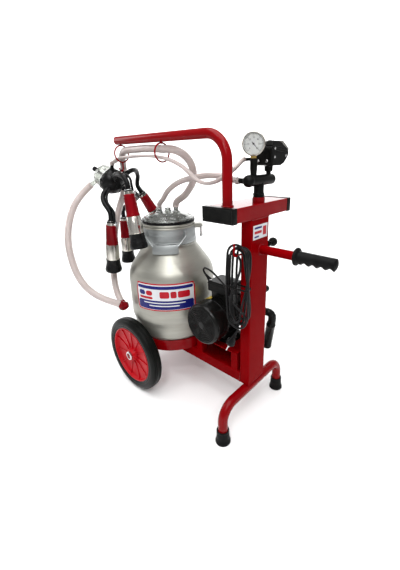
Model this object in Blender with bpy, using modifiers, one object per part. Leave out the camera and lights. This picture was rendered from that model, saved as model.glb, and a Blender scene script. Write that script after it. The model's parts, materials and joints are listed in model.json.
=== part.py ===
"""Portable bucket milking machine on a two-wheeled trolley.

Metres, +Z up. +X runs from the wheels to the push handle, and -Y is the left side, where the power cord
hangs. The origin is on the floor under the middle of the machine.

The trolley is a box column that is also the vacuum tank, with a second tank across its top, a hanger arm
for the milking cluster, a base rail with a ring that the milk can stands in, a front leg and two wheels.
"""

from math import cos, pi, radians, sin

import bmesh
import bpy
import numpy as np
from mathutils import Matrix, Vector

GAP = 0.0003
MIDDLE_X = -0.0213
AXLE_TURN = Vector((0, 1, 0))
UP = Vector((0, 0, 1))

# Column and the tank across its top
COLUMN_X = 0.191
COLUMN_DEPTH, COLUMN_WIDTH = 0.036, 0.090
COLUMN_BOTTOM, COLUMN_TOP = 0.143, 0.6987
TUBE_WALL = 0.003
TOP_TANK_FRONT = COLUMN_X + COLUMN_DEPTH / 2
TOP_TANK_LOW = Vector((TOP_TANK_FRONT - 0.105, -0.110, COLUMN_TOP + GAP))
TOP_TANK_HIGH = Vector((TOP_TANK_FRONT, 0.149, 0.739))
CAP_LENGTH = 0.018

# Push handle
HANDLE_Y, HANDLE_Z, HANDLE_RADIUS = 0.0067, 0.605, 0.013
HANDLE_END, GRIP_START, GRIP_END = 0.425, 0.321, 0.4355

# Hanger arm
ARM_Y, ARM_Z, ARM_RADIUS = -0.097, 0.923, 0.014
POST_X, ARM_END, ARM_BEND = 0.167, -0.326, 0.070
RING_RADIUS, RING_WIRE = 0.0270, 0.002
OUTER_RING_X, INNER_RING_X = -0.3055, -0.0875
RING_Z = ARM_Z - ARM_RADIUS - GAP - RING_WIRE - RING_RADIUS

# Base rail, can ring and motor stand
RAIL_TOP = 0.183
CAN_X = -0.1965
AXLE_X, AXLE_Z = -0.238, 0.146
AXLE_RADIUS, STUB_RADIUS = 0.0125, 0.010
RING_OUTER, RING_TOP = 0.150, 0.223
STAND_TOP = 0.254

# Front leg and feet
LEG_X, LEG_Z, LEG_RADIUS, LEG_BEND = 0.195, 0.1265, 0.016, 0.050
FOOT_Y, LEG_FOOT_Z = 0.161, 0.0105

# Wheels
WHEEL_RADIUS, RIM_RADIUS, TYRE_WIDTH = 0.146, 0.110, 0.046
WHEEL_Y = 0.1795

# Motor and pump on one shaft along Y
SHAFT_X, SHAFT_Z = 0.053, 0.340
SHAFT_RADIUS = 0.008
MOTOR_RADIUS, BELL_RADIUS, COWL_RADIUS = 0.066, 0.0690, 0.0715
COWL_FRONT, MOTOR_END = -0.100, 0.085
PUMP_START, PUMP_END, PUMP_RADIUS = 0.0855, 0.150, 0.055
CHAMBER_OFFSET = 0.006
EXHAUST_ROUTE = [
    Vector((0.118, 0.130, 0.325)),
    Vector((0.176, 0.150, 0.324)),
    Vector((0.148, 0.160, 0.168)),
]
BOX_LOW, BOX_HIGH = Vector((0.027, -0.035, 0.437)), Vector((0.121, 0.038, 0.474))

# Vacuum manifold, gauge, pulsator and regulator
RISER_X, RISER_Y = 0.181, 0.028
TEE_Z, TEE_RADIUS, TEE_LEFT, TEE_RIGHT = 0.800, 0.0155, -0.036, 0.102
GAUGE_Y, GAUGE_Z, GAUGE_RADIUS = 0.0, 0.896, 0.0315
GAUGE_FACING = Vector((sin(radians(22)), -cos(radians(22)), 0))
PULSATOR_Y = 0.076
REGULATOR_X, REGULATOR_Z = 0.203, 0.611

# Milk can
CAN_TURN = radians(42)
CAN_SIDE = Vector((cos(CAN_TURN), sin(CAN_TURN), 0))
CAN_BOTTOM, NECK_TOP, NECK_RADIUS = 0.1864, 0.6450, 0.096
LUG_REACH, LUG_Z = 0.127, 0.626
HANDLE_PIVOT_REACH = 0.119
LID_BOTTOM, NIPPLE_TOP, NIPPLE_REACH = 0.6536, 0.6940, 0.030

# Claw and its hook
CLAW = Vector((-0.370, -0.107, 0.785))
CLAW_AXIS = Vector((-0.80, -0.30, 0.52)).normalized()
CLAW_RADIUS = 0.046
HOOK = Vector((-0.318, -0.097, 0.822))
HOOK_RADIUS = 0.0125
EYE_RADIUS, EYE_WIRE = 0.0075, 0.002
OUTLET_DIRECTION = Vector((-0.605, -0.551, -0.574)).normalized()
OUTLET_CENTRE, OUTLET_LENGTH = CLAW + 0.045 * CLAW_AXIS, 0.0585

# Teat cups: where each red sleeve starts, which way the cup points, and the route of its short tube
CUP_LENGTH, SHELL_END = 0.190, 0.139
SHORT_TUBE_RADIUS = 0.0085
CUPS = {
    "1": {
        "top": Vector((-0.307, -0.170, 0.653)),
        "down": Vector((-0.126, 0.0, -0.992)),
        "route": [(-0.356, -0.133, 0.768), (-0.352, -0.160, 0.745), (-0.330, -0.172, 0.715)],
    },
    "2": {
        "top": Vector((-0.200, -0.155, 0.765)),
        "down": Vector((0.156, 0.0, -0.988)),
        "route": [(-0.338, -0.120, 0.790), (-0.300, -0.140, 0.806), (-0.250, -0.154, 0.815)],
    },
    "3": {
        "top": Vector((-0.449, -0.030, 0.630)),
        "down": Vector((0.0, 0.0, -1.0)),
        "route": [
            (-0.352, -0.085, 0.764),
            (-0.342, -0.050, 0.748),
            (-0.365, -0.010, 0.722),
            (-0.420, -0.008, 0.694),
        ],
    },
    "4": {
        "top": Vector((-0.384, 0.025, 0.731)),
        "down": Vector((0.050, 0.502, -0.863)),
        "route": [
            (-0.344, -0.090, 0.792),
            (-0.325, -0.065, 0.818),
            (-0.338, -0.030, 0.822),
            (-0.366, 0.000, 0.795),
        ],
    },
}

# Hoses: outer radius and route
MILK_RADIUS, VACUUM_RADIUS, PULSE_RADIUS = 0.012, 0.009, 0.0085
SOCKET_LENGTH, SOCKET_RADIUS = 0.018, 0.0135
MILK_LID_ROUTE = [
    (-0.1742, 0.0201, 0.6943),
    (-0.1715, 0.0205, 0.7090),
    (-0.1500, 0.0215, 0.7250),
    (-0.1180, 0.0180, 0.7420),
    (-0.0850, 0.0080, 0.7650),
    (-0.0530, -0.0060, 0.7900),
    (-0.0330, -0.0220, 0.8160),
    (-0.0200, -0.0420, 0.8440),
    (-0.0210, -0.0620, 0.8670),
    (-0.0350, -0.0780, 0.8820),
    (-0.0600, -0.0870, 0.8885),
    (-0.0872, -0.0900, 0.8895),
]
MILK_ARM_ROUTE = [
    (-0.0878, -0.0900, 0.8895),
    (-0.1400, -0.0905, 0.8925),
    (-0.1950, -0.0900, 0.8935),
    (-0.2500, -0.0895, 0.8925),
    (-0.3055, -0.0880, 0.8870),
    (-0.3450, -0.0720, 0.8640),
    (-0.3780, -0.0500, 0.8280),
    (-0.3960, -0.0400, 0.7850),
    (-0.4010, -0.0500, 0.7350),
    (-0.3970, -0.0780, 0.6800),
    (-0.3920, -0.1030, 0.6200),
    (-0.3900, -0.1220, 0.5550),
    (-0.3834, -0.1360, 0.4900),
    (-0.3701, -0.1500, 0.4471),
    (-0.3468, -0.1640, 0.4029),
    (-0.3211, -0.1725, 0.3709),
    (-0.2944, -0.1774, 0.3487),
]
MILK_CLAW_ROUTE = [
    (-0.2723, -0.1975, 0.3520),
    (-0.2872, -0.2129, 0.3617),
    (-0.3101, -0.2358, 0.3771),
    (-0.3421, -0.2597, 0.4018),
    (-0.3778, -0.2775, 0.4438),
    (-0.4123, -0.2824, 0.5092),
    (-0.4408, -0.2722, 0.5870),
    (-0.4550, -0.2465, 0.6597),
    (-0.4585, -0.2150, 0.7120),
    (-0.4560, -0.1850, 0.7440),
]
VACUUM_ROUTE = [
    (0.1497, -0.0220, 0.8000),
    (0.1350, -0.0250, 0.8015),
    (0.1150, -0.0340, 0.8080),
    (0.0820, -0.0430, 0.8140),
    (0.0450, -0.0500, 0.8130),
    (0.0100, -0.0530, 0.8080),
    (-0.0300, -0.0520, 0.8010),
    (-0.0750, -0.0470, 0.7900),
    (-0.1200, -0.0400, 0.7720),
    (-0.1630, -0.0310, 0.7470),
    (-0.2000, -0.0220, 0.7190),
    (-0.2165, -0.0202, 0.7050),
    (-0.2188, -0.0201, 0.6943),
]
PULSE_ROUTE = [
    (0.1577, 0.0000, 0.8570),
    (0.1520, -0.0060, 0.8550),
    (0.1490, -0.0260, 0.8430),
    (0.1400, -0.0500, 0.8250),
    (0.1180, -0.0670, 0.8060),
    (0.0780, -0.0760, 0.7940),
    (0.0360, -0.0800, 0.8040),
    (0.0040, -0.0860, 0.8300),
    (-0.0350, -0.0970, 0.8530),
    (-0.0875, -0.1030, 0.8660),
    (-0.1500, -0.1030, 0.8705),
    (-0.2100, -0.1030, 0.8710),
    (-0.2650, -0.1025, 0.8690),
    (-0.3055, -0.1025, 0.8660),
    (-0.3350, -0.1075, 0.8570),
    (-0.3520, -0.1120, 0.8430),
]
PULSE_NIPPLE_WAY = Vector((-0.18, -0.06, -0.98)).normalized()

# Power cord: it leaves the terminal box, hangs as a hank on the column's hook, and ends in its plug
CORD_RADIUS = 0.0035
GLAND_START = Vector((0.0267, -0.012, 0.458))
GLAND_DIRECTION = Vector((-0.72, -0.10, 0.69)).normalized()
GLAND_LENGTH = 0.034
CORD_HOOK_X, CORD_HOOK_Y, CORD_HOOK_Z = 0.190, -0.098, 0.604
HANK_LOW, HANK_HIGH = 0.372, 0.640
HANK_HALF_WIDTH, HANK_HOLE_HALF_WIDTH, HANK_HALF_DEPTH = 0.038, 0.012, 0.0125
HANK_Y = -0.0765
LEAD_ROUTE = [
    (-0.0060, -0.0180, 0.4950),
    (0.0020, -0.0230, 0.5070),
    (0.0250, -0.0330, 0.5140),
    (0.0550, -0.0450, 0.5150),
    (0.0850, -0.0560, 0.5100),
    (0.1150, -0.0660, 0.5020),
    (0.1350, -0.0720, 0.4920),
    (0.1517, -0.0765, 0.4790),
]
TAIL_ROUTE = [
    (0.1900, -0.0765, 0.3717),
    (0.1890, -0.0785, 0.3660),
    (0.1865, -0.0820, 0.3580),
    (0.1834, -0.0848, 0.3500),
]
PLUG_DIRECTION = Vector((-0.40, -0.11, -0.91)).normalized()


# Scene, collections and materials


def clear_scene():
    for obj in list(bpy.data.objects):
        bpy.data.objects.remove(obj)


def new_collection(name):
    collection = bpy.data.collections.new(name)
    bpy.context.scene.collection.children.link(collection)
    return collection


clear_scene()
PARTS = new_collection("milking_machine")
CUTTERS = new_collection("cutters")


def material(name, color, roughness, metallic=0.0, alpha=1.0):
    made = bpy.data.materials.new(name)
    made.use_nodes = True
    shader = made.node_tree.nodes["Principled BSDF"]
    shader.inputs["Base Color"].default_value = (*color, 1.0)
    shader.inputs["Roughness"].default_value = roughness
    shader.inputs["Metallic"].default_value = metallic
    shader.inputs["Alpha"].default_value = alpha
    return made


RED_PAINT = material("red_paint", (0.36, 0.005, 0.012), 0.25)
RED_PLASTIC = material("red_plastic", (0.50, 0.010, 0.020), 0.40)
BLACK_PAINT = material("black_paint", (0.010, 0.010, 0.011), 0.35)
BLACK_PLASTIC = material("black_plastic", (0.014, 0.014, 0.015), 0.45)
BLACK_RUBBER = material("black_rubber", (0.012, 0.012, 0.013), 0.65)
TYRE_RUBBER = material("tyre_rubber", (0.016, 0.017, 0.016), 0.70)
ALUMINIUM = material("aluminium", (0.60, 0.60, 0.58), 0.38, 1.0)
STEEL = material("stainless_steel", (0.62, 0.60, 0.56), 0.22, 1.0)
GREY_METAL = material("grey_metal", (0.35, 0.35, 0.34), 0.40, 1.0)
CLEAR_PLASTIC = material("clear_plastic", (0.80, 0.80, 0.76), 0.10, 0.0, 0.35)
CLEAR_HOSE = material("clear_hose", (0.72, 0.62, 0.58), 0.25, 0.0, 0.55)


# Shapes


def add(obj, paint):
    """Puts a finished object in the machine's collection with its material."""
    obj.data.materials.clear()
    obj.data.materials.append(paint)
    PARTS.objects.link(obj)
    return obj


def helper(obj):
    """Turns an object into a hidden cutter or joining piece."""
    for collection in list(obj.users_collection):
        collection.objects.unlink(obj)
    CUTTERS.objects.link(obj)
    obj.hide_render = True
    obj.display_type = "WIRE"
    return obj


def object_from(name, bm):
    mesh = bpy.data.meshes.new(name)
    bm.to_mesh(mesh)
    bm.free()
    mesh.shade_smooth()
    mesh.set_sharp_from_angle(angle=radians(35))
    return bpy.data.objects.new(name, mesh)


def bevel(obj, width, segments=2):
    modifier = obj.modifiers.new("rounded", "BEVEL")
    modifier.width = width
    modifier.segments = segments
    modifier.limit_method = "ANGLE"
    return obj


def box(name, low, high, rounded=0.0):
    low, high = Vector(low), Vector(high)
    bm = bmesh.new()
    bmesh.ops.create_cube(bm, size=1.0)
    size = high - low
    for vertex in bm.verts:
        vertex.co = Vector(a * b for a, b in zip(vertex.co, size)) + (low + high) / 2
    obj = object_from(name, bm)
    if rounded:
        bevel(obj, rounded)
    return obj


def turn_to(direction, origin):
    """The matrix that takes +Z to the direction and the origin of a shape to the point."""
    return Matrix.Translation(Vector(origin)) @ UP.rotation_difference(Vector(direction)).to_matrix().to_4x4()


def rod(name, start, end, radius, sides=24, end_radius=None):
    """A cylinder or cone from one point to another."""
    start, end = Vector(start), Vector(end)
    bm = bmesh.new()
    bmesh.ops.create_cone(
        bm,
        cap_ends=True,
        segments=sides,
        radius1=radius,
        radius2=radius if end_radius is None else end_radius,
        depth=(end - start).length,
        matrix=turn_to(end - start, (start + end) / 2),
    )
    return object_from(name, bm)


def turned(name, profile, origin=(0, 0, 0), direction=(0, 0, 1), steps=24, closed=False):
    """A Screw of a profile of (radius, height) points that run down the outer side."""
    count = len(profile)
    edges = [(i, i + 1) for i in range(count - 1)]
    if closed:
        edges.append((count - 1, 0))
    mesh = bpy.data.meshes.new(name)
    mesh.from_pydata([(r, 0, h) for r, h in profile], edges, [])
    obj = bpy.data.objects.new(name, mesh)
    obj.matrix_world = turn_to(direction, origin)
    screw = obj.modifiers.new("turned", "SCREW")
    screw.steps = steps
    screw.render_steps = steps
    screw.use_merge_vertices = True
    screw.merge_threshold = 0.00002
    screw.use_smooth_shade = True
    return obj


def ring(name, origin, direction, radius, wire, steps=24, sides=8):
    """A torus whose axis is the direction."""
    circle = [
        (radius + wire * cos(angle), -wire * sin(angle))
        for angle in (2 * pi * i / sides for i in range(sides))
    ]
    return turned(name, circle, origin, direction, steps, closed=True)


def round_corners(corners, radius, steps=5):
    """The corners of a bent pipe, each replaced by an arc of the given radius."""
    corners = [Vector(c) for c in corners]
    points = [corners[0]]
    for before, corner, after in zip(corners, corners[1:], corners[2:]):
        a, b = (before - corner).normalized(), (after - corner).normalized()
        half = a.angle(b) / 2
        centre = corner + (a + b).normalized() * (radius / sin(half))
        first = corner + a * (radius * cos(half) / sin(half))
        spin_axis = (first - centre).cross(corner + b * (radius * cos(half) / sin(half)) - centre)
        sweep = pi - 2 * half
        for i in range(steps + 1):
            turn = Matrix.Rotation(sweep * i / steps, 3, spin_axis.normalized())
            points.append(centre + turn @ (first - centre))
    points.append(corners[-1])
    return points


def smooth(route, spacing):
    """Points along the natural cubic spline through the route, about one spacing apart."""
    points = np.array([tuple(p) for p in route], float)
    knots = np.concatenate([[0], np.cumsum(np.linalg.norm(np.diff(points, axis=0), axis=1))])
    gaps = np.diff(knots)
    count = len(points)
    system = np.eye(count)
    target = np.zeros((count, 3))
    for i in range(1, count - 1):
        system[i, i - 1 : i + 2] = gaps[i - 1], 2 * (gaps[i - 1] + gaps[i]), gaps[i]
        slopes = (points[i + 1] - points[i]) / gaps[i] - (points[i] - points[i - 1]) / gaps[i - 1]
        target[i] = 6 * slopes
    bends = np.linalg.solve(system, target)
    found = []
    for at in np.linspace(0, knots[-1], max(2, round(knots[-1] / spacing) + 1)):
        i = min(np.searchsorted(knots, at, side="right") - 1, count - 2)
        left, right, gap = at - knots[i], knots[i + 1] - at, gaps[i]
        found.append(
            bends[i] * right**3 / (6 * gap)
            + bends[i + 1] * left**3 / (6 * gap)
            + (points[i] / gap - bends[i] * gap / 6) * right
            + (points[i + 1] / gap - bends[i + 1] * gap / 6) * left
        )
    return found


def hose_line(route, spacing, start_way, end_way):
    """A smooth route whose first and last steps run along the given ways, so that its ends are square."""
    points = [Vector(p) for p in smooth(route, spacing)]
    points[1] = points[0] + (points[1] - points[0]).length * Vector(start_way)
    points[-2] = points[-1] - (points[-2] - points[-1]).length * Vector(end_way)
    return points


def tube(name, points, radius, sides=8, closed=False):
    """A round bar or hose as a curve with filled caps."""
    curve = bpy.data.curves.new(name, "CURVE")
    curve.dimensions = "3D"
    curve.bevel_depth = radius
    curve.bevel_resolution = (sides - 4) // 2
    curve.use_fill_caps = not closed
    spline = curve.splines.new("POLY")
    spline.points.add(len(points) - 1)
    for spline_point, point in zip(spline.points, points):
        spline_point.co = (*point, 1)
    spline.use_cyclic_u = closed
    return bpy.data.objects.new(name, curve)


def as_mesh(obj):
    """The mesh object that a curve makes, with its caps welded to its sides."""
    bpy.context.scene.collection.objects.link(obj)
    evaluated = obj.evaluated_get(bpy.context.evaluated_depsgraph_get())
    mesh = bpy.data.meshes.new_from_object(evaluated)
    bm = bmesh.new()
    bm.from_mesh(mesh)
    bmesh.ops.remove_doubles(bm, verts=bm.verts, dist=0.00001)
    bmesh.ops.recalc_face_normals(bm, faces=bm.faces)
    bm.to_mesh(mesh)
    bm.free()
    made = bpy.data.objects.new(obj.name + "_mesh", mesh)
    made.matrix_world = obj.matrix_world.copy()
    name = obj.name
    bpy.data.objects.remove(obj)
    made.name = name
    return made


def put_origin(obj, point):
    """Moves an object's origin, such as onto the axis it turns about, and leaves its shape in place."""
    move = Matrix.Translation(obj.matrix_world.inverted() @ Vector(point))
    obj.data.transform(move.inverted())
    obj.matrix_world = obj.matrix_world @ move
    return obj


def outline(name, points, half_thickness, matrix):
    """A flat outline of (x, y) points, extruded both ways along the matrix's Z."""
    curve = bpy.data.curves.new(name, "CURVE")
    curve.dimensions = "2D"
    curve.fill_mode = "BOTH"
    curve.extrude = half_thickness
    spline = curve.splines.new("POLY")
    spline.points.add(len(points) - 1)
    for spline_point, (x, y) in zip(spline.points, points):
        spline_point.co = (x, y, 0, 1)
    spline.use_cyclic_u = True
    obj = bpy.data.objects.new(name, curve)
    obj.matrix_world = matrix
    return as_mesh(obj)


def combine(obj, operation, others):
    for other in others:
        modifier = obj.modifiers.new(operation.lower(), "BOOLEAN")
        modifier.operation = operation
        modifier.object = helper(other)
    return obj


def join(obj, *others):
    return combine(obj, "UNION", others)


def cut(obj, *others):
    return combine(obj, "DIFFERENCE", others)


def rotate_points(points, turn, centre):
    spin = Matrix.Rotation(turn, 3, "Z")
    return [spin @ Vector(p) + Vector(centre) for p in points]


# Frame


def make_column():
    half_depth, half_width = COLUMN_DEPTH / 2, COLUMN_WIDTH / 2
    column = box(
        "column_tank",
        (COLUMN_X - half_depth, -half_width, COLUMN_BOTTOM),
        (COLUMN_X + half_depth, half_width, COLUMN_TOP),
        rounded=0.0025,
    )
    inside = box(
        "column_inside",
        (COLUMN_X - half_depth + TUBE_WALL, -half_width + TUBE_WALL, COLUMN_BOTTOM - 0.01),
        (COLUMN_X + half_depth - TUBE_WALL, half_width - TUBE_WALL, COLUMN_TOP + 0.01),
    )
    handle = rod(
        "handle_bar",
        (COLUMN_X + half_depth - 0.002, HANDLE_Y, HANDLE_Z),
        (HANDLE_END, HANDLE_Y, HANDLE_Z),
        HANDLE_RADIUS,
    )
    hook = as_mesh(
        tube(
            "cord_hook",
            round_corners(
                [
                    (CORD_HOOK_X, -half_width + 0.0015, CORD_HOOK_Z),
                    (CORD_HOOK_X, CORD_HOOK_Y, CORD_HOOK_Z),
                    (CORD_HOOK_X, CORD_HOOK_Y, CORD_HOOK_Z + 0.036),
                ],
                0.008,
            ),
            0.003,
        )
    )
    add(join(cut(column, inside), handle, hook), RED_PAINT)


def make_top_tank():
    low, high = TOP_TANK_LOW, TOP_TANK_HIGH
    tank = box("top_tank", low, high, rounded=0.0025)
    inside = box(
        "top_tank_inside",
        (low.x + TUBE_WALL, low.y - 0.01, low.z + TUBE_WALL),
        (high.x - TUBE_WALL, high.y + 0.01, high.z - TUBE_WALL),
    )
    socket = rod("riser_socket", (RISER_X, RISER_Y, high.z - 0.002), (RISER_X, RISER_Y, 0.753), 0.0175)
    add(join(cut(tank, inside), socket), RED_PAINT)
    for name, face, side in (("top_cap_left", low.y - GAP, -1), ("top_cap_right", high.y + GAP, 1)):
        ends = sorted((face, face + side * CAP_LENGTH))
        cap = box(
            name,
            (low.x - 0.001, ends[0], low.z - 0.001),
            (high.x + 0.001, ends[1], high.z + 0.001),
            rounded=0.003,
        )
        plug_ends = sorted((face + side * 0.001, face - side * 0.012))
        inset = TUBE_WALL + 0.0005
        plug = box(
            name + "_plug",
            (low.x + inset, plug_ends[0], low.z + inset),
            (high.x - inset, plug_ends[1], high.z - inset),
        )
        add(join(cap, plug), BLACK_PLASTIC)


def make_hanger_arm():
    foot = TOP_TANK_HIGH.z + GAP
    corners = [(POST_X, ARM_Y, foot), (POST_X, ARM_Y, ARM_Z), (ARM_END, ARM_Y, ARM_Z)]
    bore_corners = [(POST_X, ARM_Y, foot - 0.01), (POST_X, ARM_Y, ARM_Z), (ARM_END + 0.004, ARM_Y, ARM_Z)]
    arm = as_mesh(tube("hanger_arm", round_corners(corners, ARM_BEND, 6), ARM_RADIUS, sides=14))
    bore = tube("arm_bore", round_corners(bore_corners, ARM_BEND, 6), ARM_RADIUS - 0.002, sides=14)
    add(cut(arm, as_mesh(bore)), RED_PAINT)


def make_hose_rings():
    inner = ring("hose_ring_inner", (INNER_RING_X, ARM_Y, RING_Z), (1, 0, 0), RING_RADIUS, RING_WIRE)
    add(inner, RED_PAINT)
    outer = ring("hose_ring_outer", (OUTER_RING_X, ARM_Y, RING_Z), (1, 0, 0), RING_RADIUS, RING_WIRE)
    centre = HOOK + HOOK_RADIUS * UP
    bend = [
        centre + HOOK_RADIUS * Vector((cos(angle), 0, sin(angle)))
        for angle in (-pi * i / 10 for i in range(11))
    ]
    start = Vector((OUTER_RING_X, ARM_Y, RING_Z - RING_RADIUS))
    hook = as_mesh(tube("cluster_hook", [start, *bend], 0.002))
    add(join(outer, hook), RED_PAINT)


def make_base_frame():
    half_width = COLUMN_WIDTH / 2
    rail_start = AXLE_X + AXLE_RADIUS + GAP
    rail_end = COLUMN_X - COLUMN_DEPTH / 2 - GAP
    frame = box(
        "base_frame",
        (rail_start, -half_width, COLUMN_BOTTOM),
        (rail_end, half_width, RAIL_TOP),
        rounded=0.0025,
    )
    inside = box(
        "rail_inside",
        (rail_start - 0.01, -half_width + TUBE_WALL, COLUMN_BOTTOM + TUBE_WALL),
        (rail_end + 0.01, half_width - TUBE_WALL, RAIL_TOP - TUBE_WALL),
    )
    cradle = turned(
        "cradle",
        [
            (RING_OUTER, RING_TOP),
            (RING_OUTER, RAIL_TOP - 0.0006),
            (0.030, RAIL_TOP - 0.0006),
            (0.030, RAIL_TOP + 0.003),
            (RING_OUTER - 0.004, RAIL_TOP + 0.003),
            (RING_OUTER - 0.004, RING_TOP),
        ],
        origin=(CAN_X, 0, 0),
        steps=32,
        closed=True,
    )
    joined = [cradle]
    for side in (-1, 1):
        joined.append(
            box(
                "axle_bracket",
                (AXLE_X - 0.018, side * 0.105 - 0.003, AXLE_Z + AXLE_RADIUS + GAP),
                (AXLE_X + 0.018, side * 0.105 + 0.003, RAIL_TOP + 0.001),
            )
        )
    stand_bottom, plate_bottom = RAIL_TOP - 0.001, STAND_TOP - 0.004
    for low_x in (-0.026, 0.135):
        joined.append(
            box(
                "stand_post",
                (low_x, -half_width + 0.0005, stand_bottom),
                (low_x + 0.026, -half_width + 0.0255, plate_bottom + 0.001),
            )
        )
    joined.append(
        box(
            "stand_back",
            (-0.026, half_width - 0.0045, stand_bottom),
            (0.161, half_width - 0.0005, plate_bottom + 0.001),
        )
    )
    joined.append(box("stand_plate", (-0.029, -0.052, plate_bottom), (0.165, 0.062, STAND_TOP)))
    add(cut(join(frame, *joined), inside), RED_PAINT)


def make_front_leg():
    corners = [
        (LEG_X, -FOOT_Y, LEG_FOOT_Z),
        (LEG_X, -FOOT_Y, LEG_Z),
        (LEG_X, FOOT_Y, LEG_Z),
        (LEG_X, FOOT_Y, LEG_FOOT_Z),
    ]
    bore_corners = [Vector(c) for c in corners]
    for end in (bore_corners[0], bore_corners[-1]):
        end.z -= 0.01
    leg = as_mesh(tube("front_leg", round_corners(corners, LEG_BEND), LEG_RADIUS, sides=14))
    bore = tube("leg_bore", round_corners(bore_corners, LEG_BEND), LEG_RADIUS - 0.002, sides=14)
    add(cut(leg, as_mesh(bore)), RED_PAINT)
    clear = LEG_RADIUS + GAP
    profile = [
        (clear, 0.048),
        (0.0200, 0.048),
        (0.0210, 0.020),
        (0.0235, 0.008),
        (0.0245, 0.000),
        (0.0060, 0.000),
        (0.0060, 0.010),
        (clear, 0.010),
    ]
    for name, side in (("foot_left", -1), ("foot_right", 1)):
        add(turned(name, profile, (LEG_X, side * FOOT_Y, 0), steps=16, closed=True), BLACK_RUBBER)


def make_grip():
    bore = HANDLE_RADIUS + GAP
    profile = [
        (0.0, GRIP_END),
        (0.0120, GRIP_END),
        (0.0165, GRIP_END - 0.004),
        (0.0170, 0.410),
        (0.0180, 0.340),
        (0.0185, 0.332),
        (0.0250, 0.328),
        (0.0250, GRIP_START),
        (bore, GRIP_START),
        (bore, HANDLE_END + GAP),
        (0.0, HANDLE_END + GAP),
    ]
    add(turned("handle_grip", profile, (0, HANDLE_Y, HANDLE_Z), (1, 0, 0), 20), BLACK_RUBBER)


# Axle and wheels


def make_wheels():
    half = [
        (0.0, 0.2085),
        (0.0150, 0.2085),
        (0.0170, 0.2065),
        (0.0170, 0.2035),
        (STUB_RADIUS, 0.2035),
        (STUB_RADIUS, 0.1510),
        (AXLE_RADIUS, 0.1500),
    ]
    profile = half + [(r, -y) for r, y in reversed(half)]
    add(turned("axle", profile, (AXLE_X, 0, AXLE_Z), AXLE_TURN, 16), GREY_METAL)
    bore = STUB_RADIUS + GAP
    rim = [
        (RIM_RADIUS, 0.019),
        (RIM_RADIUS, -0.019),
        (0.1060, -0.019),
        (0.1030, -0.0040),
        (0.0240, -0.0040),
        (0.0220, -0.0225),
        (bore, -0.0225),
        (bore, 0.0225),
        (0.0220, 0.0225),
        (0.0240, 0.0040),
        (0.1030, 0.0040),
        (0.1060, 0.019),
    ]
    seat, half_width = RIM_RADIUS + GAP, TYRE_WIDTH / 2
    tyre = [
        (WHEEL_RADIUS, 0.010),
        (WHEEL_RADIUS, -0.010),
        (WHEEL_RADIUS - 0.003, -0.016),
        (WHEEL_RADIUS - 0.010, -0.0205),
        (0.126, -half_width),
        (seat, -0.0195),
        (seat, 0.0195),
        (0.126, half_width),
        (WHEEL_RADIUS - 0.010, 0.0205),
        (WHEEL_RADIUS - 0.003, 0.016),
    ]
    for name, side in (("left", -1), ("right", 1)):
        centre = (AXLE_X, side * WHEEL_Y, AXLE_Z)
        add(turned(f"wheel_rim_{name}", rim, centre, AXLE_TURN, 28, closed=True), RED_PLASTIC)
        add(turned(f"tyre_{name}", tyre, centre, AXLE_TURN, 28, closed=True), TYRE_RUBBER)


# Motor and vacuum pump


def shaft_piece(name, profile, closed=False, steps=24, lift=0.0):
    """A turned piece on the motor's shaft; its profile's heights are Y positions."""
    return turned(name, profile, (SHAFT_X, 0, SHAFT_Z + lift), AXLE_TURN, steps, closed)


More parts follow.
